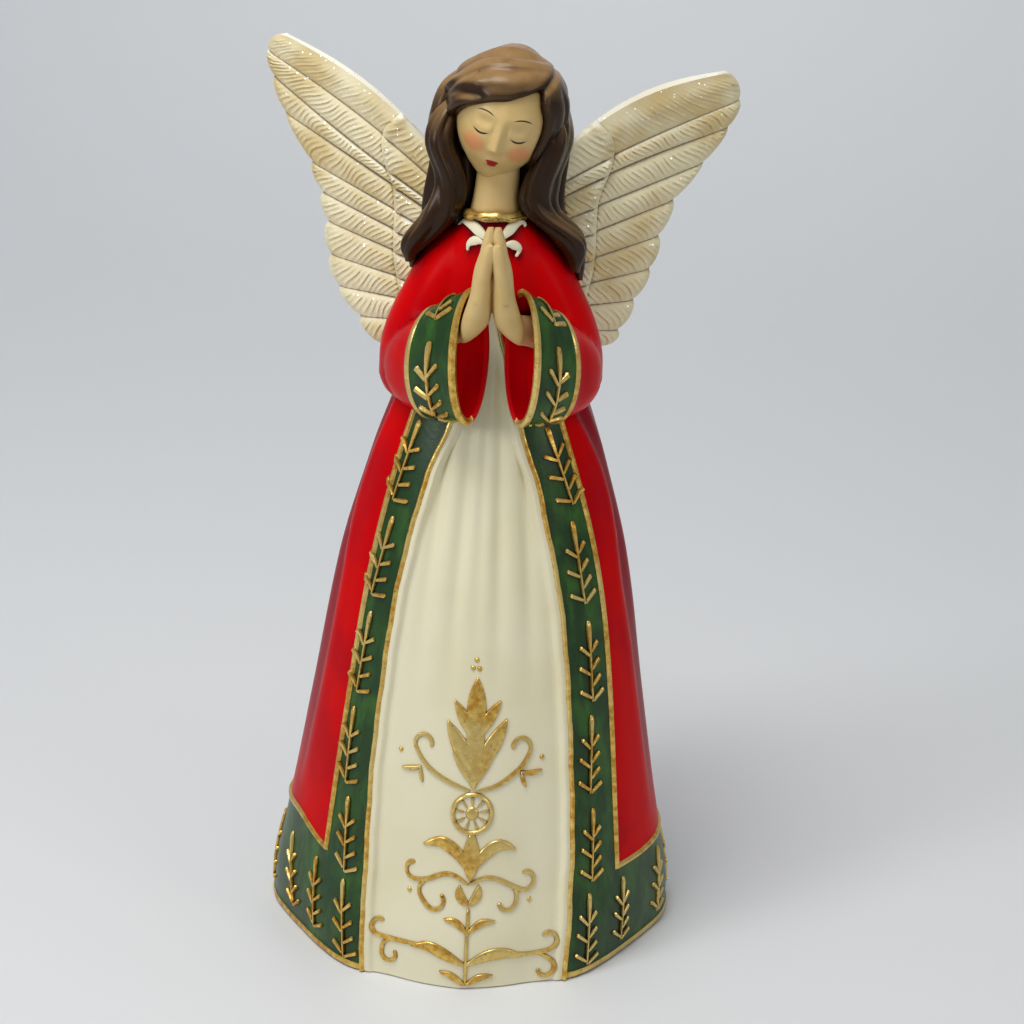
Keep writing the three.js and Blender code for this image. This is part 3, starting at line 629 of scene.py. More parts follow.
INNER_STOPS = [(0, 6), (0.6, 6), (1, 5.6), (1, 4.6), (1, 3.4), (1, 2.2), (1, 1), (1, 0.15)]
OUTER_STOPS = (
    [1, 0.997, 0.99, 0.98, 0.97, 0.955, 0.935] + list(np.linspace(0.9, 0.66, 8))
    + [0.645, 0.636, 0.625, 0.614, 0.605] + list(np.linspace(0.58, 0, 14))
)


def bell_sleeve(side):
    inner = len(INNER_STOPS)
    rows = inner + len(OUTER_STOPS) - 1
    scale = np.array([stop[0] for stop in INNER_STOPS] + [1] * len(OUTER_STOPS))
    depth = np.array([stop[1] for stop in INNER_STOPS] + [0] * len(OUTER_STOPS), float)
    stop_t = np.array([1.0] * inner + OUTER_STOPS)

    def place(u, v):
        row = np.rint(v * rows).astype(int)
        turn = 2 * np.pi * u + np.pi
        t = stop_t[row]
        centre, half, height, sideways, along = sleeve_frame(side, t)
        inside = row < inner
        narrow = 1 - 0.4 * (depth[row] / SLEEVE_HOLLOW) ** 2
        out = np.where(inside, -SLEEVE_WALL, np.where(row == inner, -0.4, sleeve_relief(t, turn)))
        wide = (half + out) * np.where(inside, narrow * scale[row], 1)
        high = (height + out) * np.where(inside, (0.7 + 0.3 * narrow) * scale[row], 1)
        point = centre - along * depth[row][:, None] + sideways * (wide * np.cos(turn))[:, None]
        point = point + along * np.where(row == inner, 0.4, 0)[:, None]
        point[:, 2] += high * np.sin(turn)
        return point

    def paint(u, v):
        row = v * rows
        turn = (2 * math.pi * u + math.pi) % (2 * math.pi)
        near = turn < 0.62 * math.pi or turn > 1.42 * math.pi
        if row < inner - 1:
            return "crimson"
        if row < inner + 0.9:
            return "gold" if near else "crimson"
        t = float(np.interp(row, range(rows + 1), stop_t))
        if t > CUFF_RIM or CUFF_LINE[0] < t < CUFF_LINE[1]:
            return "gold"
        return "green" if t > CUFF_LINE[1] else "crimson"

    return skin("bell_sleeve", 56, rows, place, paint)


# Sprigs round a cuff: foot and head, each in degrees round the section and share of the sleeve
CUFF_SPRIGS = [
    ((-66, 0.775), (22, 0.795)), ((42, 0.8), (100, 0.8)),
    ((125, 0.79), (200, 0.79)), ((215, 0.78), (285, 0.78)),
]
CUFF_LEAF_SIZE = 0.95
CUFF_MM_PER_T = 46


def cuff_sprigs(side):
    """Sprigs laid round the green of a cuff."""
    for foot, head in CUFF_SPRIGS:
        _, half, height, _, _ = sleeve_frame(side, np.array([foot[1]]))
        mean = float(0.62 * height[0] + 0.38 * half[0])
        length = mean * math.radians(head[0] - foot[0])

        def surface(x, h, out, foot=foot, head=head, length=length, mean=mean):
            turn = radians(foot[0]) + h / mean
            t = lerp(foot[1], head[1], h / length) - side * x / CUFF_MM_PER_T
            return sleeve_point(side, t, turn, out)
        leaves = [leaf for leaf in SPRIG_LEAVES if length > 17 or leaf[0] < 0.3]
        sprig("cuff_sprig", surface, length, leaves, CUFF_LEAF_SIZE)


# Hands laid palm to palm, fingers up

HANDS_X = 2.5
HAND_HEIGHTS = (213.5, 249)
PALM_OUT = [(213.5, 9), (217, 7.2), (221, 5.4), (225, 4.4), (231, 3.3), (240, 2.7), (249, 1.3)]
PALM_Y = [(213.5, -33), (218, -37.6), (228, -41), (249, -42.4)]
PALM_THICK = [(213.5, 0.9), (217, 2.8), (221, 4.3), (225, 4.3), (231, 3.6), (240, 3), (249, 1)]
PALM_BROAD = [(213.5, 2.6), (217, 5), (228, 5.6), (240, 4.8), (249, 2.4)]
FINGERS = [(-46, 248, 2.4), (-43.6, 252, 2.5), (-41, 252, 2.5), (-38.6, 249.6, 2.3)]
FINGER_ROOT = 229
FINGER_OUT = (3.9, 1.1)
WRIST_OUT = (6.6, 14.4)
WRIST_Y = (-37.6, -29.5)
WRIST_Z = (219.6, 216.5)
WRIST_HALF = (3.2, 4.6)


def hand(side):
    def palm(t):
        z = lerp(HAND_HEIGHTS[0], HAND_HEIGHTS[1], t)
        centre = stack(HANDS_X + side * keyed(PALM_OUT, z), keyed(PALM_Y, z), z)
        return centre, stack(keyed(PALM_THICK, z), 0, 0), stack(0, keyed(PALM_BROAD, z), 0)
    tube("palm", 28, 22, palm, "flesh")

    def wrist(t):
        centre = stack(HANDS_X + side * lerp(*WRIST_OUT, t), lerp(*WRIST_Y, t), lerp(*WRIST_Z, t))
        half = 0.7 * WRIST_HALF[0]
        return centre, stack(side * half, -half, 0), stack(0, 0, WRIST_HALF[1] + t)
    tube("wrist", 20, 6, wrist, "flesh")
    for y, tip, radius in FINGERS:
        def finger(t, y=y, tip=tip, radius=radius):
            swell = radius * np.sqrt(1 - (0.97 * t) ** 5) * (1 + 0.03 * np.cos(t * 14))
            out = lerp(FINGER_OUT[0], FINGER_OUT[1], t)
            centre = stack(HANDS_X + side * out, y + 1.8 * (1 - t) - 0.2, lerp(FINGER_ROOT, tip, t))
            return centre, stack(swell, 0, 0), stack(0, swell, 0)
        tube("finger", 14, 16, finger, "flesh")


# Head, neck and collar

HEAD_CENTRE = (3.2, -6.5, 279.8)
HEAD_RADII = (15, 16.6, 19)
HEAD_DROP = 21.4
HEAD_TURN = Matrix.Rotation(math.radians(14), 3, "Y") @ Matrix.Rotation(math.radians(9), 3, "X")
JAW = [(-1, 0.56), (-0.75, 0.78), (-0.4, 0.96), (0, 1), (1, 1)]
EYE = (5.7, -0.4)
MOUTH = -11
CHIN = -17.6


def from_head(points):
    """Places in the head's own frame, with its face towards -Y, as places of the figure."""
    return points @ np.array(HEAD_TURN).T + np.array(HEAD_CENTRE)


def face_relief(x, z):
    """How far the face stands off a plain oval, in millimetres."""
    side = np.abs(x)
    eye = side - EYE[0]
    relief = -1.0 * bump(eye, 3.4) * bump(z - 0.8, 2.6)
    relief = relief + 0.95 * ridge(eye, 3.3) * bump(z - EYE[1] - 0.06 * eye**2, 1.7)
    relief = relief - 0.35 * bump(z - EYE[1] + 1.7 - 0.11 * eye**2, 0.4) * smooth(-np.abs(eye), -3.4, -2.4)
    relief = relief + 0.5 * bump(side - 5.6, 4) * bump(z - 4.2, 1.5)
    bridge = keyed([(-8.4, 0), (-7, 1.1), (-5.8, 2.4), (-4, 1.9), (0, 1.1), (3, 0.6), (6, 0.2)], z)
    relief = relief + bridge * bump(x, keyed([(-7, 1.9), (-5, 1.7), (0, 1.5), (5, 1.9)], z))
    relief = relief + 0.4 * bump(side - 1.6, 1) * bump(z + 6.4, 1)
    lips = bump(x, 2.1)
    relief = relief + 0.9 * bump(x, 3.4) * bump(z - MOUTH, 2.2)
    relief = relief + 0.5 * lips * bump(z - MOUTH - 0.8, 0.8) + 0.6 * lips * bump(z - MOUTH + 0.9, 0.9)
    relief = relief - 0.3 * lips * bump(z - MOUTH, 0.45)
    relief = relief + 1.0 * bump(x, 3) * bump(z - CHIN, 2.4) - 0.5 * bump(x, 3) * bump(z + 13, 1.2)
    return relief + 0.8 * bump(side - 7, 4) * bump(z + 5.5, 4)


def head():
    def place(u, v):
        s = 2 * u - 1
        turn = np.pi * s * (0.42 + 0.58 * s * s)
        rise = np.pi * (v - 0.5)
        d = stack(np.sin(turn) * np.cos(rise), -np.cos(turn) * np.cos(rise), np.sin(rise))
        narrow = keyed(JAW, d[:, 2])
        x = d[:, 0] * HEAD_RADII[0] * narrow
        y = d[:, 1] * HEAD_RADII[1] * lerp(1, 0.93, smooth(-d[:, 2], 0.3, 1))
        z = d[:, 2] * np.where(d[:, 2] < 0, HEAD_DROP, HEAD_RADII[2])
        y = y - face_relief(x, z) * smooth(-d[:, 1], 0.1, 0.5)
        return from_head(stack(x, y, z))
    return skin("head", 104, 78, place, "flesh")


NECK_RADIUS = 6.7
NECK_FLARE = 1.9
NECK_HEIGHTS = (247.6, 268)
COLLAR_CENTRE = (1.1, -7.6, 248.3)
COLLAR_RADIUS = 8.8
COLLAR_THICKNESS = 1.55
COLLAR_TIP = -7


def neck():
    def section(t):
        radius = NECK_RADIUS + NECK_FLARE * (1 - t) ** 3
        centre = stack(1 + t, -7.2, lerp(NECK_HEIGHTS[0], NECK_HEIGHTS[1], t))
        return centre, stack(radius, 0, 0), stack(0, radius, 0)
    return tube("neck", 36, 14, section, "flesh")


def collar():
    """A hand-cast golden roll round the neck, of uneven thickness."""
    def place(u, v):
        turn = 2 * np.pi * u
        around = 2 * np.pi * v
        thick = COLLAR_THICKNESS * (1 + 0.12 * np.sin(5 * turn + 1) + 0.08 * np.sin(11 * turn))
        reach = COLLAR_RADIUS + thick * np.cos(around)
        x = reach * np.sin(turn)
        y = -reach * np.cos(turn)
        z = 1.05 * thick * np.sin(around) + 0.35 * np.sin(7 * turn) * (np.sin(around) < 0)
        tip = radians(COLLAR_TIP)
        tipped = stack(x, y * np.cos(tip) - z * np.sin(tip), y * np.sin(tip) + z * np.cos(tip))
        return tipped + np.array(COLLAR_CENTRE)
    return skin("collar", 72, 10, place, "gold")


SPRAYS = [
    ([(0, 241.8), (-2.6, 244), (-5.6, 246), (-8.6, 246.4), (-10.4, 244.8)], 1.6),
    ([(-1.6, 241.2), (-4, 241.8), (-6.2, 240.6), (-6.7, 238.4)], 1.35),
    ([(3.6, 242.4), (5.6, 244.8), (8, 247), (10, 247.2), (10.8, 245.8)], 1.6),
    ([(4.6, 241), (7.2, 241), (9.2, 239.6), (8.4, 237.2)], 1.35),
]


def neck_sprays():
    """Four curled leaves under the collar, above the finger tips."""
    def chest(x, z, out):
        a = keyed(HALF_WIDTH, z)
        angle = np.degrees(np.arcsin(np.clip((x - keyed(CENTRE_X, z)) / a, -0.95, 0.95)))
        return body_point(angle, z, out)
    for points, half in SPRAYS:
        width = [(0, 0.35), (0.35, half), (0.6, half * 0.85), (0.85, 0.5), (1, 0.45)]
        stroke("spray", chest, points, width, 0.8, rows=18, columns=10, vein=0.2, paint="cream")


# Hair: a cap swept from a parting over the face, and locks that fall over the shoulders

HAIRLINE = [
    (-180, 22), (-150, 20), (-132, 18), (-118, 17.2), (-104, 17), (-95, 16.2), (-77, 14.2), (-53, 11.9),
    (-29, 10.9), (1, 11.5), (19, 14.7), (30, 17.8), (37, 17), (45, 15.8), (58, 15.4), (73, 14.6),
    (96, 13.6), (112, 14), (128, 16.6), (150, 20), (180, 22),
]
FACE_MIDDLE = (-0.5, -2)
CAP_CENTRE = (0.3, 3.2, -0.4)
CAP_RADII = (19.2, 20.2, 20.9)
PARTING = 32
HAIR_TUCK = 7
EDGE_ROUND = 1.5
CAP_RINGS = [0, 0.25, 0.6, 1, 1.5, 2.1, 2.8] + [3.6 + 0.8 * i for i in range(21)]
CAP_RINGS += [20.6, 21.8, 23.2, 25, 27, 29, 31.5, 34, 37, 40, 43]


def cap():
    """Hair over the skull, laid in rings that start at the hairline and close behind the head."""
    arcs = np.array([0] + CAP_RINGS)
    last = len(arcs) - 1

    def place(u, v):
        row = np.rint(v * last).astype(int)
        phi = 360 * u - 180
        reach = keyed(HAIRLINE, phi)
        edge_x = FACE_MIDDLE[0] + reach * np.sin(radians(phi)) - CAP_CENTRE[0]
        edge_z = FACE_MIDDLE[1] + reach * np.cos(radians(phi)) - CAP_CENTRE[2]
        flat = np.hypot(edge_x / CAP_RADII[0], edge_z / CAP_RADII[2])
        start = np.arcsin(np.clip(flat, 0, 0.985))
        around = np.arctan2(edge_x / CAP_RADII[0], edge_z / CAP_RADII[2])
        arc = arcs[row] * (np.pi - start) * 20 / arcs[-1]
        theta = start + arc / 20
        d = stack(np.sin(around) * np.sin(theta), -np.cos(theta), np.cos(around) * np.sin(theta))
        off_part = np.abs((phi - PARTING + 180) % 360 - 180)
        over_face = smooth(np.cos(radians(phi + 10)), -0.1, 0.7)
        lift = 1.9 * over_face * bump(arc - 4, 10)
        sweep = smooth(off_part, 3, 30)
        lane = arc + 1.6 * np.sin(radians(phi + 70)) + 0.6 * np.sin(radians(phi * 4))
        strands = 0.5 * np.cos(lane * 0.85 + 0.6) + 0.2 * np.cos(lane * 1.9 + 1.6)
        strands = strands * sweep * smooth(arc, 2, 9) * smooth(-arc, -34, -18)
        crown = 0.45 * np.cos(radians(phi * 7 + 60 * np.sin(arc * 0.12)))
        crown = crown * smooth(arc, 14, 24) * smooth(-arc, -40, -32)
        fold_at = 1.2 + 5.6 * smooth(-phi, 26, 72)
        window = smooth(-phi, 22, 38) * smooth(phi, -108, -84)
        fold = -0.8 * bump(arc - fold_at, 2.6) * window + 0.8 * bump(arc - fold_at - 5, 3.2) * window
        part = -1.1 * bump(off_part, 2.6) * smooth(-arc, -26, -12)
        share = np.clip(arc / EDGE_ROUND, 0, 1)
        edge = -EDGE_ROUND * (1 - np.sqrt(1 - (1 - share) ** 2))
        tuck = np.where(row == 0, -HAIR_TUCK, 0)
        off = lift + strands + crown + fold + part + edge + tuck
        return from_head(d * (np.array(CAP_RADII) + off[:, None]) + np.array(CAP_CENTRE))
    return skin("hair_cap", 150, last, place, "hair")


# Each lock is a list of (x, y, z, half-width, half-thickness) from its top to its tip
LOCKS = [
    [(-11, -5, 287, 1, 1), (-15, -7, 280, 3.8, 4.5), (-16.6, -9, 271, 4.6, 6), (-12.4, -10, 259, 4.8, 5.4),
     (-16.6, -11, 249, 5.8, 4.6), (-22.8, -10, 240, 5, 3.8), (-26, -8, 232, 1, 1)],
    [(-8, -1, 294, 2, 2), (-13, -1, 287, 5, 6.5), (-16, -1, 273, 5.2, 9), (-12.2, -2, 259, 4.6, 8.5),
     (-16, -3, 248, 5, 7), (-22.4, -3, 238, 4.2, 5), (-25, -3, 229, 1, 1.2)],
    [(-4, 8, 293, 2, 2), (-9, 9, 284, 8, 7), (-11, 10, 268, 9, 7), (-13, 11, 250, 9, 6),
     (-14, 13, 236, 7, 5), (-12, 15, 222, 1.5, 1.5)],
    [(3, 8, 296, 2, 2), (3, 12, 286, 9, 6), (3, 14, 268, 10, 6), (3, 15, 250, 9.5, 5),
     (2, 16, 234, 8, 4), (2, 18, 216, 1.5, 1.5)],
    [(9, 8, 293, 2, 2), (13, 9, 284, 8, 7), (15, 10, 268, 8.6, 7), (14.6, 11, 250, 7.4, 6),
     (16, 13, 236, 7, 5), (15, 15, 221, 1.5, 1.5)],
    [(12, -1, 294, 2, 2), (16.5, -1, 286, 4.6, 6.5), (19, -1, 272, 5.6, 9), (16, -2, 259, 4.4, 8.5),
     (16.4, -3, 250.5, 4.6, 7), (25.2, -3, 241, 5, 5.4), (28.6, -3, 227, 1, 1.2)],
    [(13, -5, 287, 1, 1), (17, -7, 280, 3.8, 4.5), (18.6, -9, 272, 4.6, 6), (14.4, -10, 259, 4.8, 5.4),
     (15.4, -11, 251, 5, 4.6), (24, -11, 242, 5.2, 3.8), (27.5, -9, 231, 1, 1)],
    [(-5, 2, 274, 3, 4), (-8.6, 0, 264, 4.8, 7.4), (-10, -1, 254, 4.8, 8), (-11.4, -3, 246, 4, 5),
     (-12, -3, 240, 1, 1)],
    [(8.6, 2, 274, 3, 4), (12.2, 0, 264, 4.8, 7.4), (13.6, -1, 254, 4.8, 8), (15, -3, 246, 4, 5),
     (15.6, -3, 240, 1, 1)],
]
LOCK_STRANDS = 5
LOCK_WAVE = 0.9


def lock(stops, twist):
    """One wavy lock with carved strands; twist sets it apart from the others."""
    last = len(stops) - 1

    def section(t):
        x, y, z, wide, thick = [
            keyed([(i / last, stop[k]) for i, stop in enumerate(stops)], t) for k in range(5)
        ]
        x = x + LOCK_WAVE * np.sin(t * 11 + twist * 1.7) * smooth(t, 0.3, 0.6) * smooth(-t, -1, -0.9)
        return stack(x, y, z), stack(wide, 0, 0), stack(0, thick, 0)

    def groove(turn, t):
        ends = smooth(t, 0.02, 0.2) * smooth(-t, -1, -0.85)
        drift = 1.1 * np.sin(t * 5 + twist) + twist
        main = np.abs(np.cos(0.5 * LOCK_STRANDS * (turn + 0.25 * drift) + drift)) - 0.6
        fine = np.cos(2 * LOCK_STRANDS * turn + 4 * drift)
        return ends * (0.2 * main + 0.018 * fine)

    return tube("lock", 44, 40, section, "hair", groove)


# Wings: each crease between two feathers, as (root height, end distance, end height, bow)

CREASES = {
    -1: [(249, 72, 293.6, 6.6), (243, 77.6, 287.6, 3), (239, 75.4, 279.5, -2), (236, 71.3, 268.2, 0),
         (231, 61.5, 253, 0), (226, 57.6, 243.6, 0), (221, 55.5, 234.3, 0), (216, 54.5, 223.4, 0),
         (212, 51.4, 213.3, 0), (208, 43.8, 204.4, 0), (202, 37.4, 196.4, 0)],
    1: [(250, 73.4, 286.8, 9), (246, 78, 277.6, 2), (242, 74.7, 268.8, 2), (236, 67, 257.6, 0),
        (228, 57.6, 245.8, 0), (221, 53.3, 234.2, 0), (216, 50.8, 223.4, 0), (212, 46, 213.4, 0),
        (207, 41.3, 203.6, 0), (202, 38, 198.6, 0)],
}
WING_ROOT = 6
WING_FRONT = 12
WING_SWEEP = 0.45
WING_LEAN = 0.08
WING_THICKNESS = 4.2
FEATHER_CROWN = 1.5
FEATHER_TIP = 2.4
BARB_PITCH = 1.45
BARB_SLANT = 0.9
BARB_RISE = 0.27
COVERT_EDGE = [(205, 28), (226, 33), (248, 33.6), (257, 37), (264, 38), (269, 36.4), (274, 31)]
COVERT_LIFT = 2.1
WING_START = 19
COVERT_START = 12


def wing_front(out, z):
    return WING_FRONT + WING_SWEEP * (out - 12) + WING_LEAN * (z - 245)


def feather_point(side, index, share, t):
    """Distance out and height of a place across and along one feather of a wing."""
    lines = np.array(CREASES[side][index:index + 2], float)

    def crease(line):
        z = lerp(line[0], line[2], t) + line[3] * np.sin(np.pi * np.clip(t, 0, 1))
        return lerp(WING_ROOT, line[1], t), z
    upper_out, upper_z = crease(lines[0])
    lower_out, lower_z = crease(lines[1])
    axis = np.array([lines[0][1] - WING_ROOT, lines[0][2] - lines[0][0]])
    axis = axis / np.hypot(*axis)
    tip = FEATHER_TIP * np.sqrt(np.maximum(np.sin(np.pi * np.clip(share, 0, 1)), 0)) * smooth(t, 0.75, 1)
    out = lerp(upper_out, lower_out, share) + tip * axis[0]
    z = lerp(upper_z, lower_z, share) + tip * axis[1]
    return out, z


def feather_frame(side, index):
    """Length of a feather, its width near the tip, and how far its ends lean."""
    upper = np.array(feather_point(side, index, 0, 0.7))
    lower = np.array(feather_point(side, index, 1, 0.7))
    line = CREASES[side][index]
    axis = np.array([line[1] - WING_ROOT, line[2] - line[0]])
    length = float(np.hypot(*axis))
    axis = axis / length
    step = lower - upper
    along = float(step @ axis)
    width = float(np.hypot(*(step - along * axis)))
    return length, width, -along / width


FRONT_SHARES = [-0.07, 0.03, 0.13, 0.27, 0.43, 0.6, 0.76, 0.9, 1.0, 1.06]
BACK_SHARES = [1.0, 0.5, 0.0]
SHARES = np.array(FRONT_SHARES + BACK_SHARES + FRONT_SHARES[:1])
DEPTHS = np.array([0.0] * len(FRONT_SHARES) + [1.0] * len(BACK_SHARES) + [0.0])
BARB_ROWS = 3
BARB_PROFILE = np.array([1.0, -0.35, -0.65])


def covert_reach(side, index, share):
    """How far along a feather the edge of the upper layer of short feathers lies."""
    t = np.full_like(share, 0.45)
    for _ in range(14):
        out, z = feather_point(side, index, share, t)
        t = t + (keyed(COVERT_EDGE, z) - out) / 75
    return t


def vane_relief(index, short, inside, past, t, first):
    """Shaft and rim of a feather's face, and how deep its barbs are cut at each place."""
    if index == 0 and not short:
        shaft = 0.5 * bump(inside - 0.4, 0.07)
        cut = 0.6 * smooth(inside, 0.2, 0.35) * smooth(-inside, -0.97, -0.9)
        rim = 0.8 * bump(inside, 0.12)
    else:
        shaft = 0.25 * bump(inside - 0.2, 0.08)
        cut = smooth(inside, 0.1, 0.3) * smooth(-inside, -0.97, -0.88)
        rim = (0.8 if index == 0 else 0) * bump(inside, 0.16)
    return shaft + rim, cut * smooth(-past, -1, -0.97) * smooth(t, first, first + 0.03)


def feather(side, index, first_out, short=False):
    """One feather, whose rows lie along its barbs; a short one belongs to the upper layer."""
    length, width, lean = feather_frame(side, index)
    columns = len(SHARES) - 1
    start = (first_out - WING_ROOT) / 72
    end = float(covert_reach(side, index, np.array([0.5]))[0]) if short else 1
    first = start * 0.7
    slant = BARB_SLANT + lean
    reach = (end - start) * length + slant * width
    rows = int(reach / BARB_PITCH * BARB_ROWS)

    def place(u, v):
        column = np.rint(u * columns).astype(int)
        row = np.rint(v * rows).astype(int)
        share = SHARES[column]
        depth = DEPTHS[column]
        run = start * length - slant * width + (reach + slant * width) * row / rows
        wide = width * lerp(0.55, 1.05, np.clip(run / length, 0, 1))
        curve = slant * wide * share + 0.5 * np.sin(run * 0.37 + 5 * share + index)
        stop = covert_reach(side, index, share) if short else 1.0
        t = np.clip((run + curve) / length, first, stop)
        out, z = feather_point(side, index, share, t)
        inside = np.clip(share, 0, 1)
        crown = np.sin(np.pi * inside) ** 0.7
        thin = 1 - 0.4 * smooth(t, 0.6, 1)
        past = np.clip(t / stop, 0, 1)
        close = np.sqrt(np.clip(1 - smooth(past, 1 - 2.2 / (length * end), 1) ** 2, 0.05, 1))
        raised, cut = vane_relief(index, short, inside, past, t, first)
        barb = BARB_PROFILE[row % BARB_ROWS] * (1 + 0.35 * np.sin(run * 1.9 + index))
        lift = COVERT_LIFT + 0.9 * bump(past - 0.97, 0.05) if short else 0
        face = lift + FEATHER_CROWN * crown * thin + raised + BARB_RISE * cut * barb
        face = face - np.where(share < 0, 1.4, 0) - np.where(share > 1, 1.4, 0)
        face = face - 0.4 * smooth(-inside, -0.25, 0)
        front = wing_front(out, z) - face
        back = wing_front(out, z) + WING_THICKNESS * thin * (0.5 if short else 1)
        middle = lerp(front, back, 0.45)
        y = middle + (lerp(front, back, depth) - middle) * close
        return stack(side * out, y, z)
    return skin("feather", columns, rows, place, "feather")


def wing(side):
    """Long feathers, and a rounded layer of short ones over their roots."""
    for index in range(len(CREASES[side]) - 1):
        feather(side, index, WING_START)
        feather(side, index, COVERT_START, short=True)


BACK_HEIGHTS = (196, 256)


def back_mass():
    """The back of the bodice that carries the wings."""
    def section(t):
        z = lerp(BACK_HEIGHTS[0], BACK_HEIGHTS[1], t)
        return stack(1.4, 8, z), stack(23 - 6 * t * t, 0, 0), stack(0, 9.5 - 2 * t, 0)
    return tube("back_mass", 40, 24, section, "crimson")


# Paints

SOFT = {"interpolation_type": "SMOOTHSTEP"}
EVEN = {"interpolation_type": "LINEAR"}

# Width of the cells that may hold a flake of glitter, in millimetres
FLAKE = 0.9


def linear(hex_value):
    """An sRGB hex colour as linear red, green, blue and alpha."""
    channels = [((hex_value >> shift) & 255) / 255 for shift in (16, 8, 0)]
    return tuple(c / 12.92 if c <= 0.04045 else ((c + 0.055) / 1.055) ** 2.4 for c in channels) + (1,)


def add(tree, kind, links=None, **settings):
    """Adds a node with its settings, and its inputs as values or as sockets to link from."""
    node = tree.nodes.new(kind)
    for name, value in settings.items():
        setattr(node, name, value)
    for key, source in (links or {}).items():
        if isinstance(source, bpy.types.NodeSocket):
            tree.links.new(source, node.inputs[key])
        else:
            node.inputs[key].default_value = source
    return node


def grain(tree, size_mm, detail=2, rough=0.5, stretch=(1, 1, 1)):
    """Soft noise whose spots are about as large as given, in millimetres."""
    place = add(tree, "ShaderNodeTexCoord").outputs["Object"]
    place = add(tree, "ShaderNodeMapping", {"Vector": place, "Scale": stretch}).outputs[0]
    links = {"Vector": place, "Scale": 1 / (size_mm * MM), "Detail": detail, "Roughness": rough}
    return add(tree, "ShaderNodeTexNoise", links).outputs["Fac"]


def crevice(tree, reach_mm, low=0.35, high=0.95):
    """1 in corners and grooves narrower than the reach, 0 in the open, by how hidden each place is; the
    paints lay painted shade by it.
    """
    hidden = add(tree, "ShaderNodeAmbientOcclusion", {"Distance": reach_mm * MM}, samples=8).outputs["AO"]
    return add(tree, "ShaderNodeMapRange", {0: hidden, 1: low, 2: high, 3: 1, 4: 0}, **SOFT).outputs[0]


def marked(tree, name):
    """A value that surface_attributes wrote on the mesh."""
    return add(tree, "ShaderNodeAttribute", attribute_name=name).outputs["Fac"]


def upward(tree):
    """1 where the surface faces up, -1 where it faces down."""
    direction = add(tree, "ShaderNodeNewGeometry").outputs["Normal"]
    return add(tree, "ShaderNodeSeparateXYZ", {0: direction}).outputs[2]


def wash(tree, base, share, colour, reach=(0, 1), most=1, within=1, ends=SOFT):
    """Lays a colour over the base as a share goes through its reach, and only within another share."""
    cover = add(tree, "ShaderNodeMapRange", {0: share, 1: reach[0], 2: reach[1], 4: most}, **ends).outputs[0]
    cover = add(tree, "ShaderNodeMath", {0: cover, 1: within}, operation="MULTIPLY").outputs[0]
    return add(tree, "ShaderNodeMix", {0: cover, 6: base, 7: linear(colour)}, data_type="RGBA").outputs[2]


def new_paint(name):
    material = bpy.data.materials.new(name)
    material.use_nodes = True
    tree = material.node_tree
    return material, tree, tree.nodes["Principled BSDF"]


def coat(tree, shader, base, roughness, specular, unevenness):
    """Gives a paint its colour, its gloss and the unevenness (mm, strength, mm high) of a casting."""
    size_mm, strength, height_mm = unevenness
    tree.links.new(base, shader.inputs["Base Color"])
    shader.inputs["Roughness"].default_value = roughness
    shader.inputs["Specular IOR Level"].default_value = specular
    links = {"Strength": strength, "Distance": height_mm * MM, "Height": grain(tree, size_mm, 3)}
    tree.links.new(add(tree, "ShaderNodeBump", links).outputs[0], shader.inputs["Normal"])


def crimson_enamel():
    """Red satin enamel over cast resin: even and glossy, with painted shade on the sides turned from the
    front, in its folds and in its corners.
    """
    material, tree, shader = new_paint("crimson_enamel")
    base = wash(tree, linear(0xCC0206), grain(tree, 26), 0xB8010E, (0.42, 0.66))
    # Painted shade: darker crimson on the sides turned from the front, in the folds and hollows, and in
    # narrow corners.
    base = wash(tree, base, marked(tree, "side_shade"), 0x90021A, ends=EVEN)
    base = wash(tree, base, marked(tree, "hollow"), 0x5C020C, (0.02, 0.5))
    base = wash(tree, base, crevice(tree, 3), 0x380206, (0.1, 1), 0.6)
    coat(tree, shader, base, 0.3, 0.08, (2.6, 0.08, 0.3))
    shader.inputs["IOR"].default_value = 1.3
    return material


def green_enamel():
    """Dark green enamel, brushed lighter on the open ground and almost black round the relief, a dark wash
    and painted shade.
    """
    material, tree, shader = new_paint("green_enamel")
    strokes = grain(tree, 6, 4, 0.62, (1, 1, 0.3))
    base = wash(tree, linear(0x1A3912), strokes, 0x335F1C, (0.36, 0.7))
    base = wash(tree, base, grain(tree, 18), 0x173A16, (0.45, 0.7))
    # A dark wash and painted shade, almost black, in the corners round the relief.
    base = wash(tree, base, crevice(tree, 3, 0.4, 1.0), 0x040C06, ends=EVEN)
    coat(tree, shader, base, 0.32, 0.32, (1.6, 0.2, 0.3))
    return material


def cream_paint():
    """Satin cream paint, with painted shade in the folds and steps."""
    material, tree, shader = new_paint("cream_paint")
    base = wash(tree, linear(0xE6DFC0), grain(tree, 30), 0xE2D9B6, (0.4, 0.7))
    # Painted shade in the folds and steps.
    base = wash(tree, base, crevice(tree, 1.4), 0x9A875A, most=0.45)
    coat(tree, shader, base, 0.42, 0.35, (1.8, 0.12, 0.25))
    return material


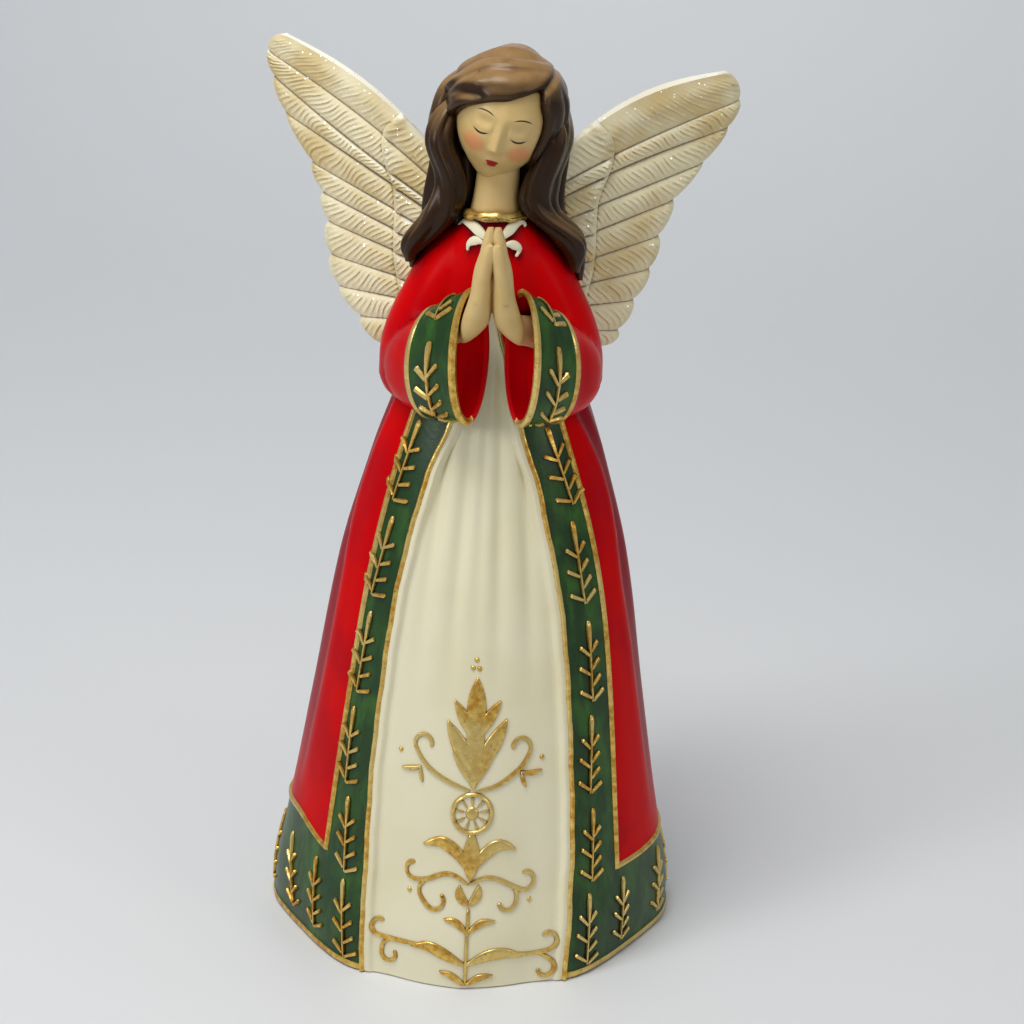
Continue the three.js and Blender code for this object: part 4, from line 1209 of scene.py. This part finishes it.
def gold_paint():
    """Metallic gold paint, brushed brighter in random strokes, brown where it is thin, with painted shade in
    its corners.
    """
    material, tree, shader = new_paint("gold_paint")
    strokes = grain(tree, 2.4, 4, 0.6)
    brushed = add(tree, "ShaderNodeMapRange", {0: strokes, 1: 0.3, 2: 0.7}, **SOFT).outputs[0]
    base = wash(tree, linear(0xB98224), brushed, 0xE6C468, ends=EVEN)
    base = wash(tree, base, grain(tree, 40), 0xD8C27C, (0.46, 0.62), 0.7)
    base = wash(tree, base, grain(tree, 1.3, 3, 0.7), 0x7A4E0E, (0.6, 0.72), 0.7)
    # Painted shade in the corners round the relief.
    base = wash(tree, base, crevice(tree, 1.0), 0x38260A, most=0.85)
    coat(tree, shader, base, 0.4, 0.5, (1.1, 0.3, 0.22))
    shader.inputs["Metallic"].default_value = 0.75
    gloss = add(tree, "ShaderNodeMapRange", {0: brushed, 3: 0.4, 4: 0.26}, **SOFT).outputs[0]
    tree.links.new(gloss, shader.inputs["Roughness"])
    return material


def face_place(tree, centre=(0, 0)):
    """Place across and up the face, in millimetres from a centre, with 1 on its front between them."""
    place = add(tree, "ShaderNodeAttribute", attribute_name="face_place").outputs["Vector"]
    middle = (centre[0], 0, centre[1])
    return add(tree, "ShaderNodeVectorMath", {0: place, 1: middle}, operation="SUBTRACT").outputs[0]


def painted_arc(tree, centre, bend, half, thick):
    """How far inside a thin arc on the face, which tapers to its ends, a place is."""
    x, _, z = add(tree, "ShaderNodeSeparateXYZ", {0: face_place(tree, centre)}).outputs
    square = add(tree, "ShaderNodeMath", {0: x, 1: x}, operation="MULTIPLY").outputs[0]
    above = add(tree, "ShaderNodeMath", {0: square, 1: -bend, 2: z}, operation="MULTIPLY_ADD").outputs[0]
    off = add(tree, "ShaderNodeMath", {0: above}, operation="ABSOLUTE").outputs[0]
    taper = add(tree, "ShaderNodeMapRange", {0: square, 2: half * half, 3: thick, 4: 0}, **SOFT).outputs[0]
    return add(tree, "ShaderNodeMath", {0: taper, 1: off}, operation="SUBTRACT").outputs[0]


def painted_spot(tree, centre, wide, high):
    """Distance from the middle of an oval on the face, squared, with 1 at its edge."""
    links = {0: face_place(tree, centre), 1: (1 / wide, 0, 1 / high)}
    oval = add(tree, "ShaderNodeVectorMath", links, operation="MULTIPLY").outputs[0]
    return add(tree, "ShaderNodeVectorMath", {0: oval, 1: oval}, operation="DOT_PRODUCT").outputs["Value"]


def flesh_paint():
    """Warm matt flesh paint, with lids, brows, lips and blushed cheeks brushed on the face, and painted shade
    in its hollows.
    """
    material, tree, shader = new_paint("flesh_paint")
    front = add(tree, "ShaderNodeSeparateXYZ", {0: face_place(tree)}).outputs[1]
    base = wash(tree, linear(0xD4B67A), grain(tree, 12), 0xCAAA6B, (0.4, 0.7))
    # Painted shade in the hollows and corners of the face.
    base = wash(tree, base, crevice(tree, 2), 0x8A5F2C, most=0.5)
    for side in (-1, 1):
        cheek = painted_spot(tree, (side * 7.2, -6.3), 4.6, 4.2)
        base = wash(tree, base, cheek, 0xDE7C4C, (1, 0), 0.62, front)
        lash = painted_arc(tree, (side * (EYE[0] + 0.3), EYE[1] - 1.75), 0.11, 3.0, 0.34)
        brow = painted_arc(tree, (side * (EYE[0] + 0.2), 5.0), -0.09, 3.4, 0.24)
        for line in (lash, brow):
            base = wash(tree, base, line, 0x2A1A10, (-0.06, 0.1), 1, front)
    for above, wide, high in ((0.45, 2.2, 0.8), (-0.45, 1.6, 1.1)):
        lip = painted_spot(tree, (0, MOUTH + above), wide, high)
        base = wash(tree, base, lip, 0x9C1218, (1, 0.7), 1, front)
    coat(tree, shader, base, 0.42, 0.35, (1.5, 0.08, 0.2))
    shader.inputs["Subsurface Weight"].default_value = 0.08
    shader.inputs["Subsurface Radius"].default_value = (0.002, 0.001, 0.0006)
    return material


def hair_paint():
    """Dark brown gloss paint, dry-brushed with tan on its crests, with tan painted highlight on the faces
    that look up, most near the crown, and painted shade in its grooves.
    """
    material, tree, shader = new_paint("hair_paint")
    hollow = marked(tree, "hollow")
    # Tan: painted highlight on the faces that look up, and dry-brushing on the crests, in patches near the
    # crown.
    lit = add(tree, "ShaderNodeMapRange", {0: upward(tree), 1: 0.1, 2: 0.8}, **SOFT).outputs[0]
    crest = add(tree, "ShaderNodeMapRange", {0: hollow, 1: -0.4, 2: 0, 3: 0.3, 4: 0}, **SOFT).outputs[0]
    tan = add(tree, "ShaderNodeMath", {0: lit, 1: crest}, operation="MAXIMUM").outputs[0]
    links = {0: grain(tree, 5, 3), 1: 0.25, 2: 0.6, 3: 0.75}
    patchy = add(tree, "ShaderNodeMapRange", links, **SOFT).outputs[0]
    links = {0: patchy, 1: marked(tree, "crown")}
    brushed = add(tree, "ShaderNodeMath", links, operation="MULTIPLY").outputs[0]
    base = wash(tree, linear(0x2E1B0B), tan, 0x98764C, within=brushed, ends=EVEN)
    # Painted shade in the grooves and corners of the locks.
    base = wash(tree, base, hollow, 0x1C1209, (0.1, 0.8), 0.25)
    base = wash(tree, base, crevice(tree, 3), 0x120A04, most=0.7)
    coat(tree, shader, base, 0.27, 0.22, (1.4, 0.12, 0.3))
    return material


def feather_paint():
    """Ivory paint with painted highlight on the faces that look up, an ochre wash and painted shade in the
    grooves, and fine glitter scattered over it.
    """
    material, tree, shader = new_paint("feather_paint")
    base = wash(tree, linear(0xE8DDB8), grain(tree, 22), 0xD2BC86, (0.4, 0.68))
    # Painted highlight: paler cream on the faces that look up.
    base = wash(tree, base, upward(tree), 0xF4F0E0, (0.6, 0.85))
    # An ochre wash and painted shade in the barbs' grooves and the corners between feathers.
    base = wash(tree, base, marked(tree, "groove"), 0x93783E, (0, 0.5), 0.7)
    base = wash(tree, base, crevice(tree, 1.6), 0x7A6430, most=0.7)
    place = add(tree, "ShaderNodeTexCoord").outputs["Object"]
    flakes = add(tree, "ShaderNodeTexVoronoi", {"Vector": place, "Scale": 1 / (FLAKE * MM)}).outputs
    chance = add(tree, "ShaderNodeSeparateColor", {0: flakes["Color"]}).outputs[0]
    few = add(tree, "ShaderNodeMapRange", {0: chance, 1: 0.84, 2: 0.88}, **SOFT).outputs[0]
    links = {0: flakes["Distance"], 1: 0.2, 2: 0.34, 3: 1, 4: 0}
    near = add(tree, "ShaderNodeMapRange", links, **SOFT).outputs[0]
    glitter = add(tree, "ShaderNodeMath", {0: few, 1: near}, operation="MULTIPLY").outputs[0]
    base = wash(tree, base, glitter, 0xFFFFFA, ends=EVEN)
    coat(tree, shader, base, 0.6, 0.5, (0.7, 0.3, 0.25))
    gloss = add(tree, "ShaderNodeMapRange", {0: glitter, 3: 0.6, 4: 0.16}, **SOFT).outputs[0]
    tree.links.new(gloss, shader.inputs["Roughness"])
    metal = add(tree, "ShaderNodeMath", {0: glitter, 1: 0.6}, operation="MULTIPLY").outputs[0]
    tree.links.new(metal, shader.inputs["Metallic"])
    return material


def bare_resin():
    """Unpainted off-white resin of the underside, rubbed flat."""
    material, tree, shader = new_paint("bare_resin")
    base = wash(tree, linear(0xD9D2C0), grain(tree, 9, 4), 0xC4BCA8, (0.35, 0.7))
    coat(tree, shader, base, 0.7, 0.5, (1.2, 0.2, 0.2))
    return material


MATERIALS = {
    "crimson": crimson_enamel(),
    "green": green_enamel(),
    "cream": cream_paint(),
    "gold": gold_paint(),
    "flesh": flesh_paint(),
    "hair": hair_paint(),
    "feather": feather_paint(),
    "bare": bare_resin(),
}


# The casting: all forms joined into one closed surface

def join_forms(base, name):
    """One closed mesh out of the body and everything that grows on it."""
    parts.objects.unlink(base)
    bpy.context.scene.collection.objects.link(base)
    joiner = base.modifiers.new("join", "BOOLEAN")
    joiner.operation = "UNION"
    joiner.operand_type = "COLLECTION"
    joiner.collection = parts
    joiner.solver = "MANIFOLD"
    joiner.material_mode = "TRANSFER"
    graph = bpy.context.evaluated_depsgraph_get()
    mesh = bpy.data.meshes.new_from_object(base.evaluated_get(graph))
    mesh.name = name
    for item in list(parts.objects) + [base]:
        bpy.data.objects.remove(item)
    bpy.data.collections.remove(parts)
    return mesh


# Where joins are softened: paint, heights, places front to back, and times smoothed
SOFT_JOINS = [("crimson", (196, 246), (-24, 80), 6), ("flesh", (212, 252), (-60, -30), 3)]


def soften_joins(mesh):
    """Blends the arms into the bodice and the fingers into the hands, as they were modelled."""
    made = bmesh.new()
    made.from_mesh(mesh)
    for paint_name, heights, depths, times in SOFT_JOINS:
        paint = list(MATERIALS).index(paint_name)
        chosen = []
        for vertex in made.verts:
            inside = heights[0] < vertex.co.z < heights[1] and depths[0] < vertex.co.y < depths[1]
            if inside and all(face.material_index == paint for face in vertex.link_faces):
                chosen.append(vertex)
        for _ in range(times):
            bmesh.ops.smooth_vert(
                made, verts=chosen, factor=0.5, use_axis_x=True, use_axis_y=True, use_axis_z=True,
            )
    made.to_mesh(mesh)
    made.free()


def neighbour_mean(edges, values):
    """Mean of a value over the neighbours of each vertex."""
    total = np.zeros(values.shape)
    for first, second in ((0, 1), (1, 0)):
        np.add.at(total, edges[:, first], values[edges[:, second]])
    number = np.maximum(np.bincount(edges.ravel(), minlength=len(values)), 1)
    return (total.T / number).T


def read_values(items, key, width, kind=float):
    values = np.empty(len(items) * width, kind)
    items.foreach_get(key, values)
    return values.reshape(-1, width)


def write_values(mesh, name, values):
    """Writes a number or a vector for each vertex, which the paints read by its name."""
    kind, key = ("FLOAT_VECTOR", "vector") if values.ndim > 1 else ("FLOAT", "value")
    layer = mesh.attributes.new(name, kind, "POINT")
    layer.data.foreach_set(key, np.ascontiguousarray(values, np.float32).ravel())


def surface_attributes(mesh):
    """Hollows and crests, the painted shade of the sides turned from the front, how much tan and painted
    highlight the hair takes, and places on the face, for the paints.
    """
    points = read_values(mesh.vertices, "co", 3)
    normals = read_values(mesh.vertices, "normal", 3)
    edges = read_values(mesh.edges, "vertices", 2, int)
    lengths = np.linalg.norm(points[edges[:, 0]] - points[edges[:, 1]], axis=1)
    number = np.maximum(np.bincount(edges.ravel(), minlength=len(points)), 1)
    spacing = np.bincount(edges.ravel(), np.repeat(lengths, 2), len(points)) / number
    offset = ((neighbour_mean(edges, points) - points) * normals).sum(1)
    hollow = np.clip(offset / np.maximum(spacing, 0.2) ** 2 * 1.5, -1.5, 1.5)
    write_values(mesh, "groove", lerp(hollow, neighbour_mean(edges, hollow), 0.6))
    for _ in range(6):
        hollow = lerp(hollow, neighbour_mean(edges, hollow), 0.6)
    write_values(mesh, "hollow", hollow)
    z = points[:, 2]
    angle = np.degrees(np.arctan2(points[:, 0], -points[:, 1] * 1.15))
    # Painted shade for the red coat: its sides past each pleat, turned from the front.
    beside = smooth(-z, -200, -184) * smooth(z, 20, 90) * smooth(-np.abs(angle), -120, -95)
    write_values(mesh, "side_shade", smooth(past_pleat(angle, z), -1, 3) * beside)
    # How much tan and painted highlight the hair takes, more towards the top of the head.
    write_values(mesh, "crown", 0.35 + 0.65 * smooth(z, 268, 292))
    local = (points - np.array(HEAD_CENTRE)) @ np.array(HEAD_TURN)
    front = smooth(-local[:, 1], 4, 8) * smooth(local[:, 2], -19, -17.5)
    write_values(mesh, "face_place", stack(local[:, 0], front, local[:, 2]))


SHARP_ANGLE = 42
SPECK_POINTS = 200


def drop_specks(mesh):
    """Takes out the tiny closed pockets that joining leaves between hair and collar."""
    work = bmesh.new()
    work.from_mesh(mesh)
    seen = set()
    specks = []
    for start in work.verts:
        if start in seen:
            continue
        seen.add(start)
        island = [start]
        for point in island:
            for edge in point.link_edges:
                other = edge.other_vert(point)
                if other not in seen:
                    seen.add(other)
                    island.append(other)
        if len(island) < SPECK_POINTS:
            specks += island
    bmesh.ops.delete(work, geom=specks, context="VERTS")
    work.to_mesh(mesh)
    work.free()


def build_casting():
    """The whole figurine as one piece, in metres."""
    base = body()
    back_mass()
    neck()
    collar()
    head()
    cap()
    for twist, stops in enumerate(LOCKS):
        lock(stops, twist)
    for side in (-1, 1):
        upper_arm(side)
        bell_sleeve(side)
        cuff_sprigs(side)
        hand(side)
        wing(side)
    neck_sprays()
    sprigs()
    ornament()
    mesh = join_forms(base, "resin_angel")
    drop_specks(mesh)
    soften_joins(mesh)
    surface_attributes(mesh)
    mesh.transform(Matrix.Scale(MM, 4))
    mesh.shade_smooth()
    mesh.set_sharp_from_angle(angle=math.radians(SHARP_ANGLE))
    angel = bpy.data.objects.new("resin_angel", mesh)
    bpy.context.scene.collection.objects.link(angel)
    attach(angel, "root")
    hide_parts("angel_figure")


# Camera, floor and light, in metres

CAMERA_DISTANCE = 0.801
CAMERA_TARGET = (0, 0, 0.150)
CAMERA_HEIGHT_ANGLE = 20
CAMERA_YAW = 2.5
CAMERA_PITCH = 20.3
CAMERA_PAN = -0.72
CAMERA_ROLL = 2.0
CAMERA_FIELD = 24


def turned(degrees, axis):
    return Matrix.Rotation(math.radians(degrees), 4, axis)


def camera():
    """A camera in front of the figure and above it, turned to where the photographer aimed."""
    seat = turned(CAMERA_YAW, "Z") @ turned(-CAMERA_HEIGHT_ANGLE, "X") @ Vector((0, -CAMERA_DISTANCE, 0))
    aim = turned(CAMERA_YAW + CAMERA_PAN, "Z") @ turned(90 - CAMERA_PITCH, "X") @ turned(CAMERA_ROLL, "Z")
    data = bpy.data.cameras.new("camera")
    data.sensor_width = 36
    data.lens = data.sensor_width / 2 / math.tan(math.radians(CAMERA_FIELD / 2))
    item = bpy.data.objects.new("camera", data)
    item.matrix_world = Matrix.Translation(Vector(CAMERA_TARGET) + seat) @ aim
    bpy.context.scene.collection.objects.link(item)
    bpy.context.scene.camera = item


FLOOR_HALF = 3.0
FLOOR_BACK = 0.9
SWEEP_RADIUS = 0.8
WALL_STRETCH = 1.6


def floor_and_backdrop():
    """A pale sweep: a flat floor that bends up into a wall behind."""
    made = bmesh.new()
    bmesh.ops.create_grid(made, x_segments=2, y_segments=40, size=FLOOR_HALF)
    for vertex in made.verts:
        y = vertex.co.y
        past = y - FLOOR_BACK
        if past > 0:
            bend = min(past / SWEEP_RADIUS, math.pi / 2)
            rest = past - bend * SWEEP_RADIUS
            vertex.co.y = FLOOR_BACK + SWEEP_RADIUS * math.sin(bend)
            vertex.co.z = SWEEP_RADIUS * (1 - math.cos(bend)) + max(rest, 0) * WALL_STRETCH
    mesh = bpy.data.meshes.new("sweep")
    made.to_mesh(mesh)
    made.free()
    mesh.shade_smooth()
    material, _, shader = new_paint("pale_board")
    shader.inputs["Base Color"].default_value = linear(0xE4E6E8)
    shader.inputs["Roughness"].default_value = 0.6
    mesh.materials.append(material)
    item = bpy.data.objects.new("sweep", mesh)
    bpy.context.scene.collection.objects.link(item)


def area_light(name, place, target, size, power, colour):
    data = bpy.data.lights.new(name, "AREA")
    data.shape = "DISK"
    data.size = size
    data.energy = power
    data.color = linear(colour)[:3]
    item = bpy.data.objects.new(name, data)
    item.location = place
    item.rotation_euler = (Vector(target) - Vector(place)).to_track_quat("-Z", "Y").to_euler()
    bpy.context.scene.collection.objects.link(item)


def lights():
    """A soft light overhead, a strong and a weak fill, one for the wall, and a pale room."""
    middle = (0, 0, 0.15)
    area_light("overhead", (-0.25, -0.28, 1.1), middle, 0.5, 6.1, 0xFFFDF8)
    area_light("left_fill", (-1.2, -0.9, 0.8), middle, 0.5, 5.4, 0xFAFBFF)
    area_light("right_fill", (1.2, -0.8, 0.7), middle, 0.5, 1.8, 0xFFFAF2)
    area_light("wall_wash", (0, 1.2, 1.3), (0, 2.0, 0.6), 0.8, 4, 0xFFFFFF)
    world = bpy.data.worlds.new("studio")
    world.use_nodes = True
    background = world.node_tree.nodes["Background"]
    background.inputs["Color"].default_value = linear(0xE2E6EA)
    background.inputs["Strength"].default_value = 0.46
    bpy.context.scene.world = world
    bpy.context.scene.view_settings.view_transform = "Standard"


camera()
floor_and_backdrop()
lights()
build_casting()
